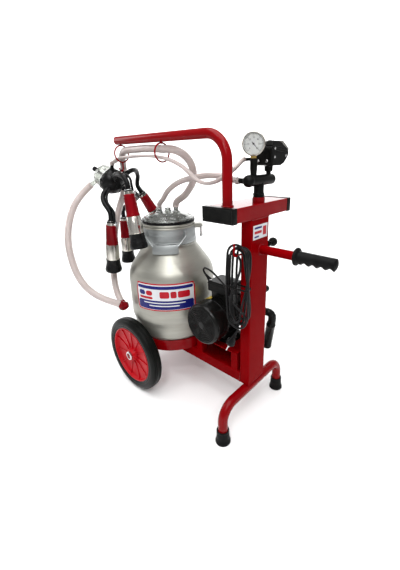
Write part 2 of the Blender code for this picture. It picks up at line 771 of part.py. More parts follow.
def make_motor():
    bore = SHAFT_RADIUS + 0.001
    body = shaft_piece(
        "motor_body",
        [
            (0.050, MOTOR_END),
            (BELL_RADIUS, 0.078),
            (BELL_RADIUS, 0.066),
            (MOTOR_RADIUS, 0.065),
            (MOTOR_RADIUS, -0.039),
            (BELL_RADIUS, -0.040),
            (BELL_RADIUS, -0.052),
            (bore, -0.052),
            (bore, MOTOR_END),
        ],
        closed=True,
    )
    feet = box(
        "motor_feet",
        (SHAFT_X - 0.064, -0.030, STAND_TOP + GAP),
        (SHAFT_X + 0.064, 0.055, STAND_TOP + 0.012),
    )
    web = box("motor_web", (SHAFT_X - 0.040, -0.026, STAND_TOP + 0.008), (SHAFT_X + 0.040, 0.051, 0.290))
    pedestal = box("box_pedestal", (0.036, -0.026, 0.392), (0.104, 0.028, BOX_LOW.z - GAP))
    add(join(body, feet, web, pedestal), BLACK_PAINT)

    cowl_inside, front_inside = COWL_RADIUS - 0.002, COWL_FRONT + 0.002
    cowl = shaft_piece(
        "fan_cowl",
        [
            (0.0, front_inside),
            (0.0625, front_inside),
            (cowl_inside, -0.089),
            (cowl_inside, -0.0405),
            (COWL_RADIUS, -0.0405),
            (COWL_RADIUS, -0.090),
            (0.0640, COWL_FRONT),
            (0.0, COWL_FRONT),
        ],
    )
    slots = bmesh.new()
    for i in range(8):
        angle = 2 * pi * i / 8 + pi / 8
        made = bmesh.ops.create_cube(slots, size=1.0)["verts"]
        for vertex in made:
            x, y, z = vertex.co
            across, along = x * 0.007, 0.037 + z * 0.034
            vertex.co = (
                SHAFT_X + along * cos(angle) - across * sin(angle),
                COWL_FRONT + y * 0.02,
                SHAFT_Z + along * sin(angle) + across * cos(angle),
            )
    bmesh.ops.recalc_face_normals(slots, faces=slots.faces)
    add(cut(cowl, object_from("cowl_slots", slots)), BLACK_PAINT)

    rotor = shaft_piece(
        "motor_rotor",
        [
            (0.0, 0.1490),
            (SHAFT_RADIUS, 0.1490),
            (SHAFT_RADIUS, -0.062),
            (0.020, -0.062),
            (0.020, -0.068),
            (0.056, -0.070),
            (0.056, -0.073),
            (0.020, -0.073),
            (0.018, -0.088),
            (0.0, -0.088),
        ],
    )
    blades = []
    for i in range(6):
        angle = 2 * pi * i / 6
        blade = box("fan_blade", (0.015, -0.090, -0.0012), (0.054, -0.0715, 0.0012))
        blade.data.transform(Matrix.Rotation(-angle, 4, "Y"))
        blade.data.transform(Matrix.Translation((SHAFT_X, 0, SHAFT_Z)))
        blades.append(blade)
    add(join(rotor, *blades), GREY_METAL)


def make_terminal_box():
    terminal = box("terminal_box", BOX_LOW, BOX_HIGH, rounded=0.003)
    pocket = box("rocker_pocket", (0.089, 0.004, BOX_HIGH.z - 0.010), (0.109, 0.018, BOX_HIGH.z + 0.01))
    add(cut(terminal, pocket), BLACK_PLASTIC)
    rocker_points = [
        (-0.0082, 0.0045),
        (-0.0086, -0.0010),
        (0.0, -0.0070),
        (0.0086, -0.0010),
        (0.0082, 0.0010),
        (0.0, 0.0012),
    ]
    matrix = Matrix.Translation((0.099, 0.011, BOX_HIGH.z)) @ Matrix.Rotation(pi / 2, 4, "X")
    add(outline("switch_rocker", rocker_points, 0.0062, matrix), BLACK_PLASTIC)
    gland = turned(
        "cord_gland",
        [
            (0.0, GLAND_LENGTH),
            (0.0046, GLAND_LENGTH),
            (0.0062, 0.012),
            (0.0095, 0.011),
            (0.0095, 0.0),
            (0.0, 0.0),
        ],
        GLAND_START,
        GLAND_DIRECTION,
        16,
    )
    trim = box("gland_trim", (BOX_LOW.x - GAP, -0.05, 0.43), (BOX_LOW.x + 0.03, 0.03, 0.50))
    add(cut(gland, trim), BLACK_PLASTIC)


def make_pump():
    pump = shaft_piece(
        "pump_body",
        [
            (0.0, PUMP_END + 0.006),
            (0.030, PUMP_END + 0.006),
            (0.034, PUMP_END),
            (PUMP_RADIUS, PUMP_END),
            (PUMP_RADIUS, PUMP_START),
            (0.0, PUMP_START),
        ],
    )
    chamber = shaft_piece(
        "pump_chamber",
        [(0.0, 0.143), (0.046, 0.143), (0.046, 0.094), (0.0, 0.094)],
        lift=CHAMBER_OFFSET,
    )
    shaft_hole = rod("pump_bore", (SHAFT_X, 0.05, SHAFT_Z), (SHAFT_X, 0.1505, SHAFT_Z), SHAFT_RADIUS + 0.0006)
    inlet = rod("pump_inlet", (0.092, 0.118, 0.369), (0.112, 0.118, 0.384), 0.0125, 20)
    outlet_way = (EXHAUST_ROUTE[1] - EXHAUST_ROUTE[0]).normalized()
    outlet_end = EXHAUST_ROUTE[0] - GAP * outlet_way
    outlet = rod("pump_outlet", outlet_end - 0.022 * outlet_way, outlet_end, 0.0155, 20)
    foot = box("pump_foot", (SHAFT_X - 0.040, 0.095, 0.276), (SHAFT_X + 0.040, 0.140, 0.300))
    add(cut(join(pump, inlet, outlet, foot), chamber, shaft_hole), BLACK_PAINT)

    rotor = shaft_piece(
        "pump_rotor",
        [(0.0385, 0.1415), (0.0385, 0.0955), (SHAFT_RADIUS + GAP, 0.0955), (SHAFT_RADIUS + GAP, 0.1415)],
        closed=True,
    )
    slots = [
        box("vane_slot", (SHAFT_X - 0.0015, 0.09, SHAFT_Z + 0.022), (SHAFT_X + 0.0015, 0.15, SHAFT_Z + 0.05)),
        box("vane_slot", (SHAFT_X - 0.0015, 0.09, SHAFT_Z - 0.05), (SHAFT_X + 0.0015, 0.15, SHAFT_Z - 0.022)),
        box("vane_slot", (SHAFT_X + 0.022, 0.09, SHAFT_Z - 0.0015), (SHAFT_X + 0.05, 0.15, SHAFT_Z + 0.0015)),
        box("vane_slot", (SHAFT_X - 0.05, 0.09, SHAFT_Z - 0.0015), (SHAFT_X - 0.022, 0.15, SHAFT_Z + 0.0015)),
    ]
    add(cut(rotor, *slots), GREY_METAL)

    suction_route = [
        (0.1124, 0.118, 0.3843),
        (0.1240, 0.1175, 0.3930),
        (0.1480, 0.1120, 0.4140),
        (0.1720, 0.0980, 0.4360),
        (0.1850, 0.0790, 0.4480),
        (0.1880, 0.0620, 0.4510),
        (0.1880, COLUMN_WIDTH / 2 + GAP, 0.4510),
    ]
    add(tube("suction_pipe", smooth(suction_route, 0.012), 0.0105, sides=12), BLACK_RUBBER)

    silencer = as_mesh(tube("exhaust_silencer", round_corners(EXHAUST_ROUTE, 0.020), 0.0140, sides=14))
    elbow, low = EXHAUST_ROUTE[1:]
    away = (elbow - low).normalized()
    barrel = rod("silencer_barrel", low - 0.001 * away, low + 0.105 * away, 0.0175, 20)
    add(join(silencer, barrel), BLACK_PLASTIC)


# Manifold, gauge, pulsator and regulator


def make_manifold():
    tee = turned(
        "vacuum_manifold",
        [
            (0.0, TEE_RIGHT),
            (0.0090, TEE_RIGHT - 0.002),
            (TEE_RADIUS, TEE_RIGHT - 0.010),
            (TEE_RADIUS, TEE_LEFT + 0.010),
            (0.0090, TEE_LEFT + 0.002),
            (0.0, TEE_LEFT),
        ],
        (RISER_X, 0, TEE_Z),
        AXLE_TURN,
        24,
    )
    x = RISER_X
    riser = rod("riser", (x, RISER_Y, 0.753 + GAP), (x, RISER_Y, TEE_Z), 0.0150)
    stem = rod("gauge_stem", (x, GAUGE_Y, TEE_Z), (x, GAUGE_Y, 0.8620), 0.0095, 16)
    pulse = rod("pulse_nipple", (x, GAUGE_Y, 0.857), (0.1580, GAUGE_Y, 0.857), 0.0045, 12)
    vacuum = rod("vacuum_nipple", (x, -0.022, TEE_Z), (0.1500, -0.022, TEE_Z), 0.0075, 16)
    neck = rod("pulsator_neck", (x, PULSATOR_Y, TEE_Z), (x, PULSATOR_Y, 0.8380), 0.0085, 16)
    add(join(tee, riser, stem, pulse, vacuum, neck), BLACK_PLASTIC)


def make_gauge():
    centre = Vector((RISER_X, GAUGE_Y, GAUGE_Z))
    case = turned(
        "gauge_case",
        [
            (0.0, 0.0050),
            (0.0285, 0.0050),
            (0.0285, 0.0110),
            (0.0305, 0.0115),
            (GAUGE_RADIUS, 0.0100),
            (GAUGE_RADIUS, -0.0110),
            (0.0290, -0.0130),
            (0.0, -0.0130),
        ],
        centre,
        GAUGE_FACING,
    )
    fitting = rod("gauge_fitting", (RISER_X, GAUGE_Y, 0.8620 + GAP), (RISER_X, GAUGE_Y, 0.8680), 0.0065, 6)
    add(join(case, fitting), STEEL)

    across = UP.cross(GAUGE_FACING)
    frame = Matrix((across, UP, GAUGE_FACING)).transposed().to_4x4()
    spin = Matrix.Rotation(radians(-48), 4, "Z")
    matrix = Matrix.Translation(centre + 0.0075 * GAUGE_FACING) @ frame @ spin
    needle = [(0.0215, 0.0), (0.0, 0.0022), (-0.0090, 0.0024), (-0.0090, -0.0024), (0.0, -0.0022)]
    add(outline("gauge_needle", needle, 0.0005, matrix), BLACK_PAINT)


def make_pulsator():
    side_view = Matrix(((0, 0, 1), (1, 0, 0), (0, 1, 0))).to_4x4()
    matrix = Matrix.Translation((RISER_X, 0, 0)) @ side_view
    body = [
        (0.050, 0.8420),
        (0.058, 0.8383),
        (0.098, 0.8383),
        (0.118, 0.8460),
        (0.138, 0.8640),
        (0.141, 0.8740),
        (0.139, 0.8805),
        (0.100, 0.8860),
        (0.048, 0.8900),
        (0.044, 0.8840),
    ]
    cover = [
        (0.0480, 0.8903),
        (0.1000, 0.8863),
        (0.1390, 0.8808),
        (0.1370, 0.8870),
        (0.1150, 0.8985),
        (0.0850, 0.9050),
        (0.0560, 0.9050),
    ]
    add(bevel(outline("pulsator_body", body, 0.028, matrix), 0.003), BLACK_PLASTIC)
    add(bevel(outline("pulsator_cover", cover, 0.027, matrix), 0.003), GREY_METAL)


def make_regulator():
    wall = COLUMN_WIDTH / 2 + GAP
    centre = (REGULATOR_X, 0, REGULATOR_Z)
    body = turned(
        "regulator_body",
        [
            (0.0, 0.0740),
            (0.0040, 0.0740),
            (0.0040, 0.0660),
            (0.0080, 0.0650),
            (0.0080, 0.0560),
            (0.0050, 0.0550),
            (0.0050, wall),
            (0.0, wall),
        ],
        centre,
        AXLE_TURN,
        16,
    )
    add(body, BLACK_PLASTIC)
    knob = turned(
        "regulator_knob",
        [
            (0.0, 0.0930),
            (0.0070, 0.0925),
            (0.0120, 0.0885),
            (0.0135, 0.0810),
            (0.0120, 0.0730),
            (0.0080, 0.0675),
            (0.0043, 0.0670),
            (0.0043, 0.0745),
            (0.0, 0.0745),
        ],
        centre,
        AXLE_TURN,
        20,
    )
    add(knob, BLACK_PLASTIC)


# Milk can and lid


def make_can():
    profile = [
        (0.0, CAN_BOTTOM + 0.004),
        (0.1360, CAN_BOTTOM + 0.004),
        (0.1415, 0.1960),
        (0.1418, 0.2235),
        (0.1520, 0.2370),
        (0.1522, 0.2780),
        (0.1595, 0.3000),
        (0.1595, 0.4400),
        (0.1576, 0.4545),
        (0.1528, 0.4725),
        (0.1450, 0.4870),
        (0.0955, 0.5560),
        (0.0905, 0.5650),
        (0.0905, NECK_TOP),
        (NECK_RADIUS, NECK_TOP),
        (NECK_RADIUS, 0.5670),
        (0.0985, 0.5600),
        (0.1474, 0.4888),
        (0.1552, 0.4740),
        (0.1601, 0.4555),
        (0.1620, 0.4400),
        (0.1620, 0.3000),
        (0.1550, 0.2780),
        (0.1545, 0.2360),
        (0.1445, 0.2225),
        (0.1440, 0.1950),
        (0.1380, CAN_BOTTOM),
        (0.0, CAN_BOTTOM),
    ]
    can = turned("milk_can", profile, (CAN_X, 0, 0), steps=32)
    lugs, bores = [], []
    for side in (-1, 1):
        low, high = (0.0915, -0.017, LUG_Z - 0.008), (LUG_REACH, 0.017, LUG_Z + 0.008)
        lug = box("can_lug", low, high, rounded=0.003)
        turn = CAN_TURN + (pi if side < 0 else 0)
        place = Matrix.Translation((CAN_X, 0, 0)) @ Matrix.Rotation(turn, 4, "Z")
        lug.matrix_world = place
        lugs.append(lug)
        start, end = (place @ Vector((HANDLE_PIVOT_REACH, y, LUG_Z)) for y in (-0.03, 0.03))
        bores.append(rod("lug_bore", start, end, 0.0042, 12))
    add(cut(join(can, *lugs), *bores), ALUMINIUM)

    pivot = Vector((HANDLE_PIVOT_REACH, 0, LUG_Z))
    loop = [(0, 0, 0), (0, -0.026, 0), (0, -0.026, -0.036), (0, 0.026, -0.036), (0, 0.026, 0), (0, 0, 0)]
    bent = round_corners([Vector(p) + pivot for p in loop], 0.006, 4)
    for name, turn in (("can_handle_left", CAN_TURN + pi), ("can_handle_right", CAN_TURN)):
        points = rotate_points(bent[:-1], turn, (CAN_X, 0, 0))
        add(put_origin(tube(name, points, 0.0028, closed=True), points[0]), STEEL)


def make_lid():
    gasket = [
        (0.0965, LID_BOTTOM - GAP),
        (0.0975, 0.6495),
        (0.0965, NECK_TOP + GAP),
        (0.0780, NECK_TOP + GAP),
        (0.0780, LID_BOTTOM - GAP),
    ]
    add(turned("lid_gasket", gasket, (CAN_X, 0, 0), steps=28, closed=True), BLACK_RUBBER)
    lid = [
        (0.0, 0.6800),
        (0.0300, 0.6785),
        (0.0550, 0.6735),
        (0.0740, 0.6650),
        (0.0800, 0.6600),
        (0.0955, 0.6595),
        (0.0965, LID_BOTTOM),
        (0.0760, LID_BOTTOM),
        (0.0700, 0.6625),
        (0.0530, 0.6695),
        (0.0290, 0.6745),
        (0.0, 0.6760),
    ]
    body = turned("can_lid", lid, (CAN_X, 0, 0), steps=28)
    nipples, bores = [], []
    for side in (-1, 1):
        at = Vector((CAN_X, 0, 0)) + side * NIPPLE_REACH * CAN_SIDE
        nipples.append(rod("lid_nipple", at + 0.6765 * UP, at + NIPPLE_TOP * UP, 0.0085, 20))
        bores.append(rod("nipple_bore", at + 0.66 * UP, at + (NIPPLE_TOP + 0.01) * UP, 0.0055, 12))
    add(cut(join(body, *nipples), *bores), CLEAR_PLASTIC)


# Milking cluster


def make_claw():
    body = turned(
        "claw_body",
        [
            (0.0, 0.0180),
            (0.0420, 0.0180),
            (CLAW_RADIUS, 0.0060),
            (CLAW_RADIUS, -0.0040),
            (0.0420, -0.0140),
            (0.0300, -0.0210),
            (0.0, -0.0230),
        ],
        CLAW,
        CLAW_AXIS,
    )
    eye_centre = HOOK - (EYE_RADIUS - EYE_WIRE - 0.002 - GAP) * UP
    eye = ring("claw_eye", eye_centre, (1, 0, 0), EYE_RADIUS, EYE_WIRE, 20, 8)
    arm = rod("eye_arm", eye_centre - (EYE_RADIUS - 0.0005) * UP, (-0.342, -0.0965, 0.803), 0.003, 10)
    top = Vector(PULSE_ROUTE[-1])
    nipple = rod("pulse_nipple", top + GAP * PULSE_NIPPLE_WAY, top + 0.034 * PULSE_NIPPLE_WAY, 0.0065, 12)
    add(join(body, eye, arm, nipple), BLACK_RUBBER)

    bowl = turned(
        "claw_bowl",
        [
            (0.0060, 0.0700),
            (0.0160, 0.0690),
            (0.0320, 0.0600),
            (0.0400, 0.0450),
            (0.0410, 0.0183),
            (0.0380, 0.0183),
            (0.0370, 0.0440),
            (0.0290, 0.0570),
            (0.0140, 0.0660),
            (0.0060, 0.0665),
        ],
        CLAW,
        CLAW_AXIS,
        closed=True,
    )
    outlet = rod(
        "claw_outlet",
        OUTLET_CENTRE + 0.0330 * OUTLET_DIRECTION,
        OUTLET_CENTRE + OUTLET_LENGTH * OUTLET_DIRECTION,
        0.0080,
        16,
    )
    add(join(bowl, outlet), CLEAR_PLASTIC)
    valve = turned(
        "claw_valve",
        [
            (0.0, 0.0920),
            (0.0080, 0.0915),
            (0.0090, 0.0850),
            (0.0085, 0.0800),
            (0.0050, 0.0790),
            (0.0050, 0.0240),
            (0.0, 0.0240),
        ],
        CLAW,
        CLAW_AXIS,
        16,
    )
    add(valve, BLACK_RUBBER)


def make_cup(number, cup):
    top, down = cup["top"], cup["down"].normalized()
    shell = [
        (0.0175, 0.0),
        (0.0215, -0.075),
        (0.0215, -0.081),
        (0.0237, -0.083),
        (0.0237, -SHELL_END),
        (0.0222, -SHELL_END),
        (0.0222, -0.084),
        (0.0155, -0.078),
        (0.0150, 0.0),
    ]
    add(turned(f"teat_shell_{number}", shell, top, -down, 16, closed=True), STEEL)
    mouth = SHELL_END + GAP
    liner = turned(
        f"teat_liner_{number}",
        [
            (0.0, 0.0060),
            (0.0110, 0.0060),
            (0.0140, -0.0040),
            (0.0140, -mouth),
            (0.0245, -mouth),
            (0.0250, -0.156),
            (0.0290, -0.176),
            (0.0290, -0.186),
            (0.0270, -CUP_LENGTH),
            (0.0118, -CUP_LENGTH),
            (0.0118, -0.187),
            (0.0190, -0.180),
            (0.0108, -0.146),
            (0.0108, -0.060),
            (0.0, -0.056),
        ],
        top,
        -down,
        16,
    )
    route = [*cup["route"], top - 0.030 * down, top - 0.004 * down, top + 0.004 * down]
    short_tube = as_mesh(tube(f"short_tube_{number}", smooth(route, 0.014), SHORT_TUBE_RADIUS))
    trim = turned(
        "claw_trim",
        [
            (0.0, 0.0190),
            (0.0430, 0.0185),
            (CLAW_RADIUS + GAP, 0.0062),
            (CLAW_RADIUS + GAP, -0.0041),
            (0.0422, -0.0143),
            (0.0301, -0.0213),
            (0.0, -0.0233),
        ],
        CLAW,
        CLAW_AXIS,
    )
    add(cut(join(liner, short_tube), trim), BLACK_RUBBER)


# Hoses and the power cord


def make_hoses():
    down, along_arm = Vector((0, 0, -1)), Vector((-1, 0, 0))
    arm_end, joiner_exit = Vector(MILK_ARM_ROUTE[-1]), Vector(MILK_CLAW_ROUTE[0])
    joiner_in = (arm_end - Vector(MILK_ARM_ROUTE[-2])).normalized()
    joiner_out = (Vector(MILK_CLAW_ROUTE[1]) - joiner_exit).normalized()
    to_outlet = [*MILK_CLAW_ROUTE, OUTLET_CENTRE + (OUTLET_LENGTH + GAP) * OUTLET_DIRECTION]
    for name, route, radius, start_way, end_way in (
        ("milk_hose_lid", MILK_LID_ROUTE, MILK_RADIUS, UP, along_arm),
        ("milk_hose_arm", MILK_ARM_ROUTE, MILK_RADIUS, along_arm, joiner_in),
        ("milk_hose_claw", to_outlet, MILK_RADIUS, joiner_out, -OUTLET_DIRECTION),
        ("vacuum_hose", VACUUM_ROUTE, VACUUM_RADIUS, along_arm, down),
        ("pulse_tube", PULSE_ROUTE, PULSE_RADIUS, along_arm, PULSE_NIPPLE_WAY),
    ):
        points = hose_line(route, 2.4 * radius, start_way, end_way)
        add(tube(name, points, radius), CLEAR_HOSE)

    # The return bend between the two milk hoses: two sockets and the passage that links their far ends.
    first, last = arm_end + GAP * joiner_in, joiner_exit - GAP * joiner_out
    far_first, far_last = first + SOCKET_LENGTH * joiner_in, last - SOCKET_LENGTH * joiner_out
    past = 0.7 * SOCKET_RADIUS * (far_last - far_first).normalized()
    inlet = rod("hose_joiner", first, far_first, SOCKET_RADIUS, 20)
    outlet = rod("joiner_outlet", last, far_last, SOCKET_RADIUS, 20)
    passage = rod("joiner_passage", far_first - past, far_last + past, 0.97 * SOCKET_RADIUS, 20)
    add(join(inlet, outlet, passage), RED_PLASTIC)


def make_cord():
    start = GLAND_START + (GLAND_LENGTH + GAP) * GLAND_DIRECTION
    lead = hose_line([start, *LEAD_ROUTE], 0.009, GLAND_DIRECTION, (1, 0, 0))
    add(tube("cord_lead", lead, CORD_RADIUS), BLACK_RUBBER)
    tail = hose_line(TAIL_ROUTE, 0.007, (0, 0, -1), PLUG_DIRECTION)
    add(tube("cord_tail", tail, CORD_RADIUS), BLACK_RUBBER)

    def racetrack(half_width, low, high):
        points = []
        for centre, start in ((high - half_width, 0.0), (low + half_width, pi)):
            for i in range(13):
                angle = start + pi * i / 12
                points.append((half_width * cos(angle), centre + half_width * sin(angle)))
        return points

    matrix = Matrix.Translation((CORD_HOOK_X, HANK_Y, 0)) @ Matrix.Rotation(pi / 2, 4, "X")
    band = HANK_HALF_WIDTH - HANK_HOLE_HALF_WIDTH
    hank = outline(
        "cord_hank", racetrack(HANK_HALF_WIDTH, HANK_LOW, HANK_HIGH), HANK_HALF_DEPTH, matrix
    )
    hole = outline(
        "hank_hole",
        racetrack(HANK_HOLE_HALF_WIDTH, HANK_LOW + band, HANK_HIGH - band),
        HANK_HALF_DEPTH + 0.01,
        matrix,
    )
    add(cut(hank, hole), BLACK_RUBBER)

    start = Vector(TAIL_ROUTE[-1]) + GAP * PLUG_DIRECTION
    plug = turned(
        "power_plug",
        [
            (0.0, 0.0),
            (0.0060, 0.0),
            (0.0075, -0.006),
            (0.0090, -0.016),
            (0.0165, -0.026),
            (0.0185, -0.034),
            (0.0185, -0.044),
            (0.0, -0.044),
        ],
        start,
        -PLUG_DIRECTION,
        20,
    )
    side = PLUG_DIRECTION.cross(UP).normalized()
    pins = [
        rod(
            "plug_pin",
            start + 0.043 * PLUG_DIRECTION + offset * side,
            start + 0.063 * PLUG_DIRECTION + offset * side,
            0.0024,
            10,
        )
        for offset in (-0.0095, 0.0095)
    ]
    add(join(plug, *pins), BLACK_RUBBER)


# Placing


def hang_cluster():
    """Parents the claw and the cups to an empty on the hook, which is where they swing."""
    pivot = bpy.data.objects.new("cluster_pivot", None)
    pivot.matrix_world = Matrix.Translation(HOOK)
    PARTS.objects.link(pivot)
    for obj in PARTS.objects:
        if obj.name.startswith(("claw_", "teat_")):
            obj.parent = pivot
            obj.matrix_parent_inverse = Matrix.Translation(-HOOK)


def centre_machine():
    """Moves the whole machine so that the origin is under its middle."""
    for obj in [*PARTS.objects, *CUTTERS.objects]:
        if obj.parent is None:
            obj.matrix_world = Matrix.Translation((-MIDDLE_X, 0, 0)) @ obj.matrix_world


make_column()
make_top_tank()
make_hanger_arm()
make_hose_rings()
make_base_frame()
make_front_leg()
make_grip()
make_wheels()
make_motor()
make_terminal_box()
make_pump()
make_manifold()
make_gauge()
make_pulsator()
make_regulator()
make_can()
make_lid()
make_claw()
for cup_number, cup_facts in CUPS.items():
    make_cup(cup_number, cup_facts)
make_hoses()
make_cord()
hang_cluster()
centre_machine()
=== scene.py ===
"""Portable milking machine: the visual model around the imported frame. Metres, +Z up, the part's own frame."""

import json
from math import cos, pi, radians, sin, sqrt

import bmesh
import bpy
import numpy as np
from mathutils import Matrix, Vector


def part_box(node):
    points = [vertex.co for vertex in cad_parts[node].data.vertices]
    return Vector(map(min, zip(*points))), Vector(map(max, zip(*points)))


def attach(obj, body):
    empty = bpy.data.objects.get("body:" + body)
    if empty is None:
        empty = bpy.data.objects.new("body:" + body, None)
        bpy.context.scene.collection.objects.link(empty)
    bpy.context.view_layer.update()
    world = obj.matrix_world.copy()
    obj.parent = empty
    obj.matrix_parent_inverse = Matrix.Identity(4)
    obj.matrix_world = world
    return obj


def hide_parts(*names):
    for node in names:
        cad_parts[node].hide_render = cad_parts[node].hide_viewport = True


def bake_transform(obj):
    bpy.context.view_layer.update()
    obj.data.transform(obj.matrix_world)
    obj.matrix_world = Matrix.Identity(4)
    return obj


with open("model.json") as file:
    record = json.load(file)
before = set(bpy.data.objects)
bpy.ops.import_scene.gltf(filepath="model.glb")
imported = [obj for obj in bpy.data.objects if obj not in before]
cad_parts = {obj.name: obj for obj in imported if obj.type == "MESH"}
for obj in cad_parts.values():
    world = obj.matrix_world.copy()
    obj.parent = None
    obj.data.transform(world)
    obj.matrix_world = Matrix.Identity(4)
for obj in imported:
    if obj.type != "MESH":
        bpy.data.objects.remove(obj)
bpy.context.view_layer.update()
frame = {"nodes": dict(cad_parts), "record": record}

UP = Vector((0, 0, 1))
AXLE_WAY = Vector((0, 1, 0))
FORWARD, ALONG_ARM, DOWN = Vector((1, 0, 0)), Vector((-1, 0, 0)), Vector((0, 0, -1))

# The picture's camera: where it stands, its turn from +Y, its pitch and roll, its sensor's longer side and
# its lens in millimetres, and how far the view is shifted, as a part of the sensor.
CAMERA_AT = Vector((0.7041, -0.7226, 0.8618))
CAMERA_TURN, CAMERA_PITCH, CAMERA_ROLL = radians(41.196), radians(18.786), radians(-0.9277)
SENSOR, LENS = 36, 19.253684210526316
SHIFT_X, SHIFT_Y = -0.03384211, -0.04117544


def mm(*points):
    """Points of a profile or outline given in millimetres, in metres."""
    return [tuple(value / 1000 for value in point) for point in points]


def box_of(node):
    low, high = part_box(node)
    return Vector(low), Vector(high)


def centre(node):
    low, high = box_of(node)
    return (low + high) / 2


# Where things are, read off the frame.
TOP_LOW, TOP_HIGH = box_of("top_tank")
TANK_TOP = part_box("hanger_arm")[0][2]
COLUMN_LOW = box_of("column_tank")[0]
CAN = centre("milk_can")
CAN.z = 0
AXLE = centre("axle")
JOINTS = {joint["name"]: joint for joint in frame["record"]["behaviour"]["joints"]}
SHAFT = Vector(JOINTS["rotor_spin"]["pos_m"])
HOOK = Vector(JOINTS["cluster_swing"]["pos_m"])
DIAL = Vector(JOINTS["needle_turn"]["pos_m"])
DIAL_WAY = Vector(JOINTS["needle_turn"]["axis"]).normalized()
RISER_X = centre("vacuum_manifold").x + 0.0078


def smooth(route, spacing):
    """Points along the natural cubic spline through the route, about one spacing apart."""
    points = np.array([tuple(p) for p in route], float)
    knots = np.concatenate([[0], np.cumsum(np.linalg.norm(np.diff(points, axis=0), axis=1))])
    gaps = np.diff(knots)
    count = len(points)
    system = np.eye(count)
    target = np.zeros((count, 3))
    for i in range(1, count - 1):
        system[i, i - 1 : i + 2] = gaps[i - 1], 2 * (gaps[i - 1] + gaps[i]), gaps[i]
        slopes = (points[i + 1] - points[i]) / gaps[i] - (points[i] - points[i - 1]) / gaps[i - 1]
        target[i] = 6 * slopes
    bends = np.linalg.solve(system, target)
    found = []
    for at in np.linspace(0, knots[-1], max(2, round(knots[-1] / spacing) + 1)):
        i = min(np.searchsorted(knots, at, side="right") - 1, count - 2)
        left, right, gap = at - knots[i], knots[i + 1] - at, gaps[i]
        found.append(
            Vector(
                bends[i] * right**3 / (6 * gap)
                + bends[i + 1] * left**3 / (6 * gap)
                + (points[i] / gap - bends[i] * gap / 6) * right
                + (points[i + 1] / gap - bends[i + 1] * gap / 6) * left
            )
        )
    return found


def squared(points, start_way, end_way):
    """The points with their first and last steps turned exactly along the given ways."""
    points[1] = points[0] + (points[1] - points[0]).length * Vector(start_way)
    points[-2] = points[-1] - (points[-2] - points[-1]).length * Vector(end_way)
    return points


def round_corners(corners, radius, steps=12):
    corners = [Vector(c) for c in corners]
    points = [corners[0]]
    for before, corner, after in zip(corners, corners[1:], corners[2:]):
        a, b = (before - corner).normalized(), (after - corner).normalized()
        half = a.angle(b) / 2
        middle = corner + (a + b).normalized() * (radius / sin(half))
        reach = radius * cos(half) / sin(half)
        first = corner + a * reach
        axis = (first - middle).cross(corner + b * reach - middle).normalized()
        for i in range(steps + 1):
            points.append(middle + Matrix.Rotation((pi - 2 * half) * i / steps, 3, axis) @ (first - middle))
    points.append(corners[-1])
    return points


def turn_to(direction, origin):
    return Matrix.Translation(Vector(origin)) @ UP.rotation_difference(Vector(direction)).to_matrix().to_4x4()


# Materials


def surface(
    name,
    color,
    roughness,
    other=None,
    scale=30.0,
    spread=0.06,
    stretch=(1, 1, 1),
    bump=0.1,
    bump_scale=300.0,
    bump_size=0.0003,
    **sockets,
):
    """A Principled material whose colour, roughness and relief vary with noise in the object's own space."""
    made = bpy.data.materials.new(name)
    made.use_nodes = True
    tree = made.node_tree

    def set_sockets(node, values):
        for socket, value in values.items():
            node.inputs[socket.replace("_", " ")].default_value = value
        return node

    def add(kind, **values):
        return set_sockets(tree.nodes.new("ShaderNode" + kind), values)

    shader = set_sockets(tree.nodes["Principled BSDF"], sockets)
    space, mapping = add("TexCoord"), add("Mapping", Scale=stretch)
    blotch = add("TexNoise", Scale=scale, Detail=5)
    fine = add("TexNoise", Scale=bump_scale, Detail=3)
    ramp = add("ValToRGB")
    shades = (color, other or [c * 0.82 for c in color])
    for stop, position, shade in zip(ramp.color_ramp.elements, (0.35, 0.68), shades):
        stop.position = position
        stop.color = (*shade, 1)
    limits = add("MapRange", To_Min=max(0.02, roughness - spread), To_Max=roughness + spread)
    relief = add("Bump", Strength=bump, Distance=bump_size)
    for source, output, target, socket in (
        (space, "Object", mapping, "Vector"),
        (mapping, "Vector", blotch, "Vector"),
        (mapping, "Vector", fine, "Vector"),
        (blotch, "Fac", ramp, "Fac"),
        (ramp, "Color", shader, "Base Color"),
        (blotch, "Fac", limits, "Value"),
        (limits, "Result", shader, "Roughness"),
        (fine, "Fac", relief, "Height"),
        (relief, "Normal", shader, "Normal"),
    ):
        tree.links.new(source.outputs[output], target.inputs[socket])
    return made


RED_PAINT = surface(
    "red_paint", (0.205, 0.0004, 0.0022), 0.15, (0.170, 0.0003, 0.0016), 8, 0.03, bump=0.10, bump_scale=90,
    Specular_IOR_Level=0.04, Coat_Weight=0.30, Coat_Roughness=0.04, Coat_IOR=1.35,
)
RED_SHEET = surface(
    "red_sheet", (0.200, 0.0003, 0.0016), 0.24, (0.165, 0.0002, 0.0012), 6, 0.05, bump=0.12, bump_scale=80,
    Specular_IOR_Level=0.012,
)
WELD = surface(
    "red_weld", (0.185, 0.0006, 0.0024), 0.18, scale=120, bump=0.5, bump_scale=160, bump_size=0.001,
    Specular_IOR_Level=0.12,
)
RED_PLASTIC = surface(
    "red_plastic", (0.430, 0.0012, 0.0070), 0.36, (0.360, 0.0010, 0.0055), 14, bump=0.15, bump_scale=500,
    Specular_IOR_Level=0.12,
)
# Red rubber of the cup sleeves and the hose joiner. Its colour drops to half in streaks along the height:
# painted highlight and shade bands.
SLEEVE_RED_PAINTED_HIGHLIGHTS = surface(
    "sleeve_red_painted_highlights", (0.190, 0.0008, 0.0045), 0.16, (0.095, 0.0005, 0.0025), 45, stretch=(1, 1, 0.3), bump=0.2,
    bump_scale=120, Specular_IOR_Level=0.12,
)
GLOSS_BLACK = surface(
    "gloss_black", (0.0042, 0.0042, 0.0042), 0.18, (0.0070, 0.0068, 0.0060), 25, 0.05, bump=0.2,
    bump_scale=140,
    Specular_IOR_Level=0.12,
)
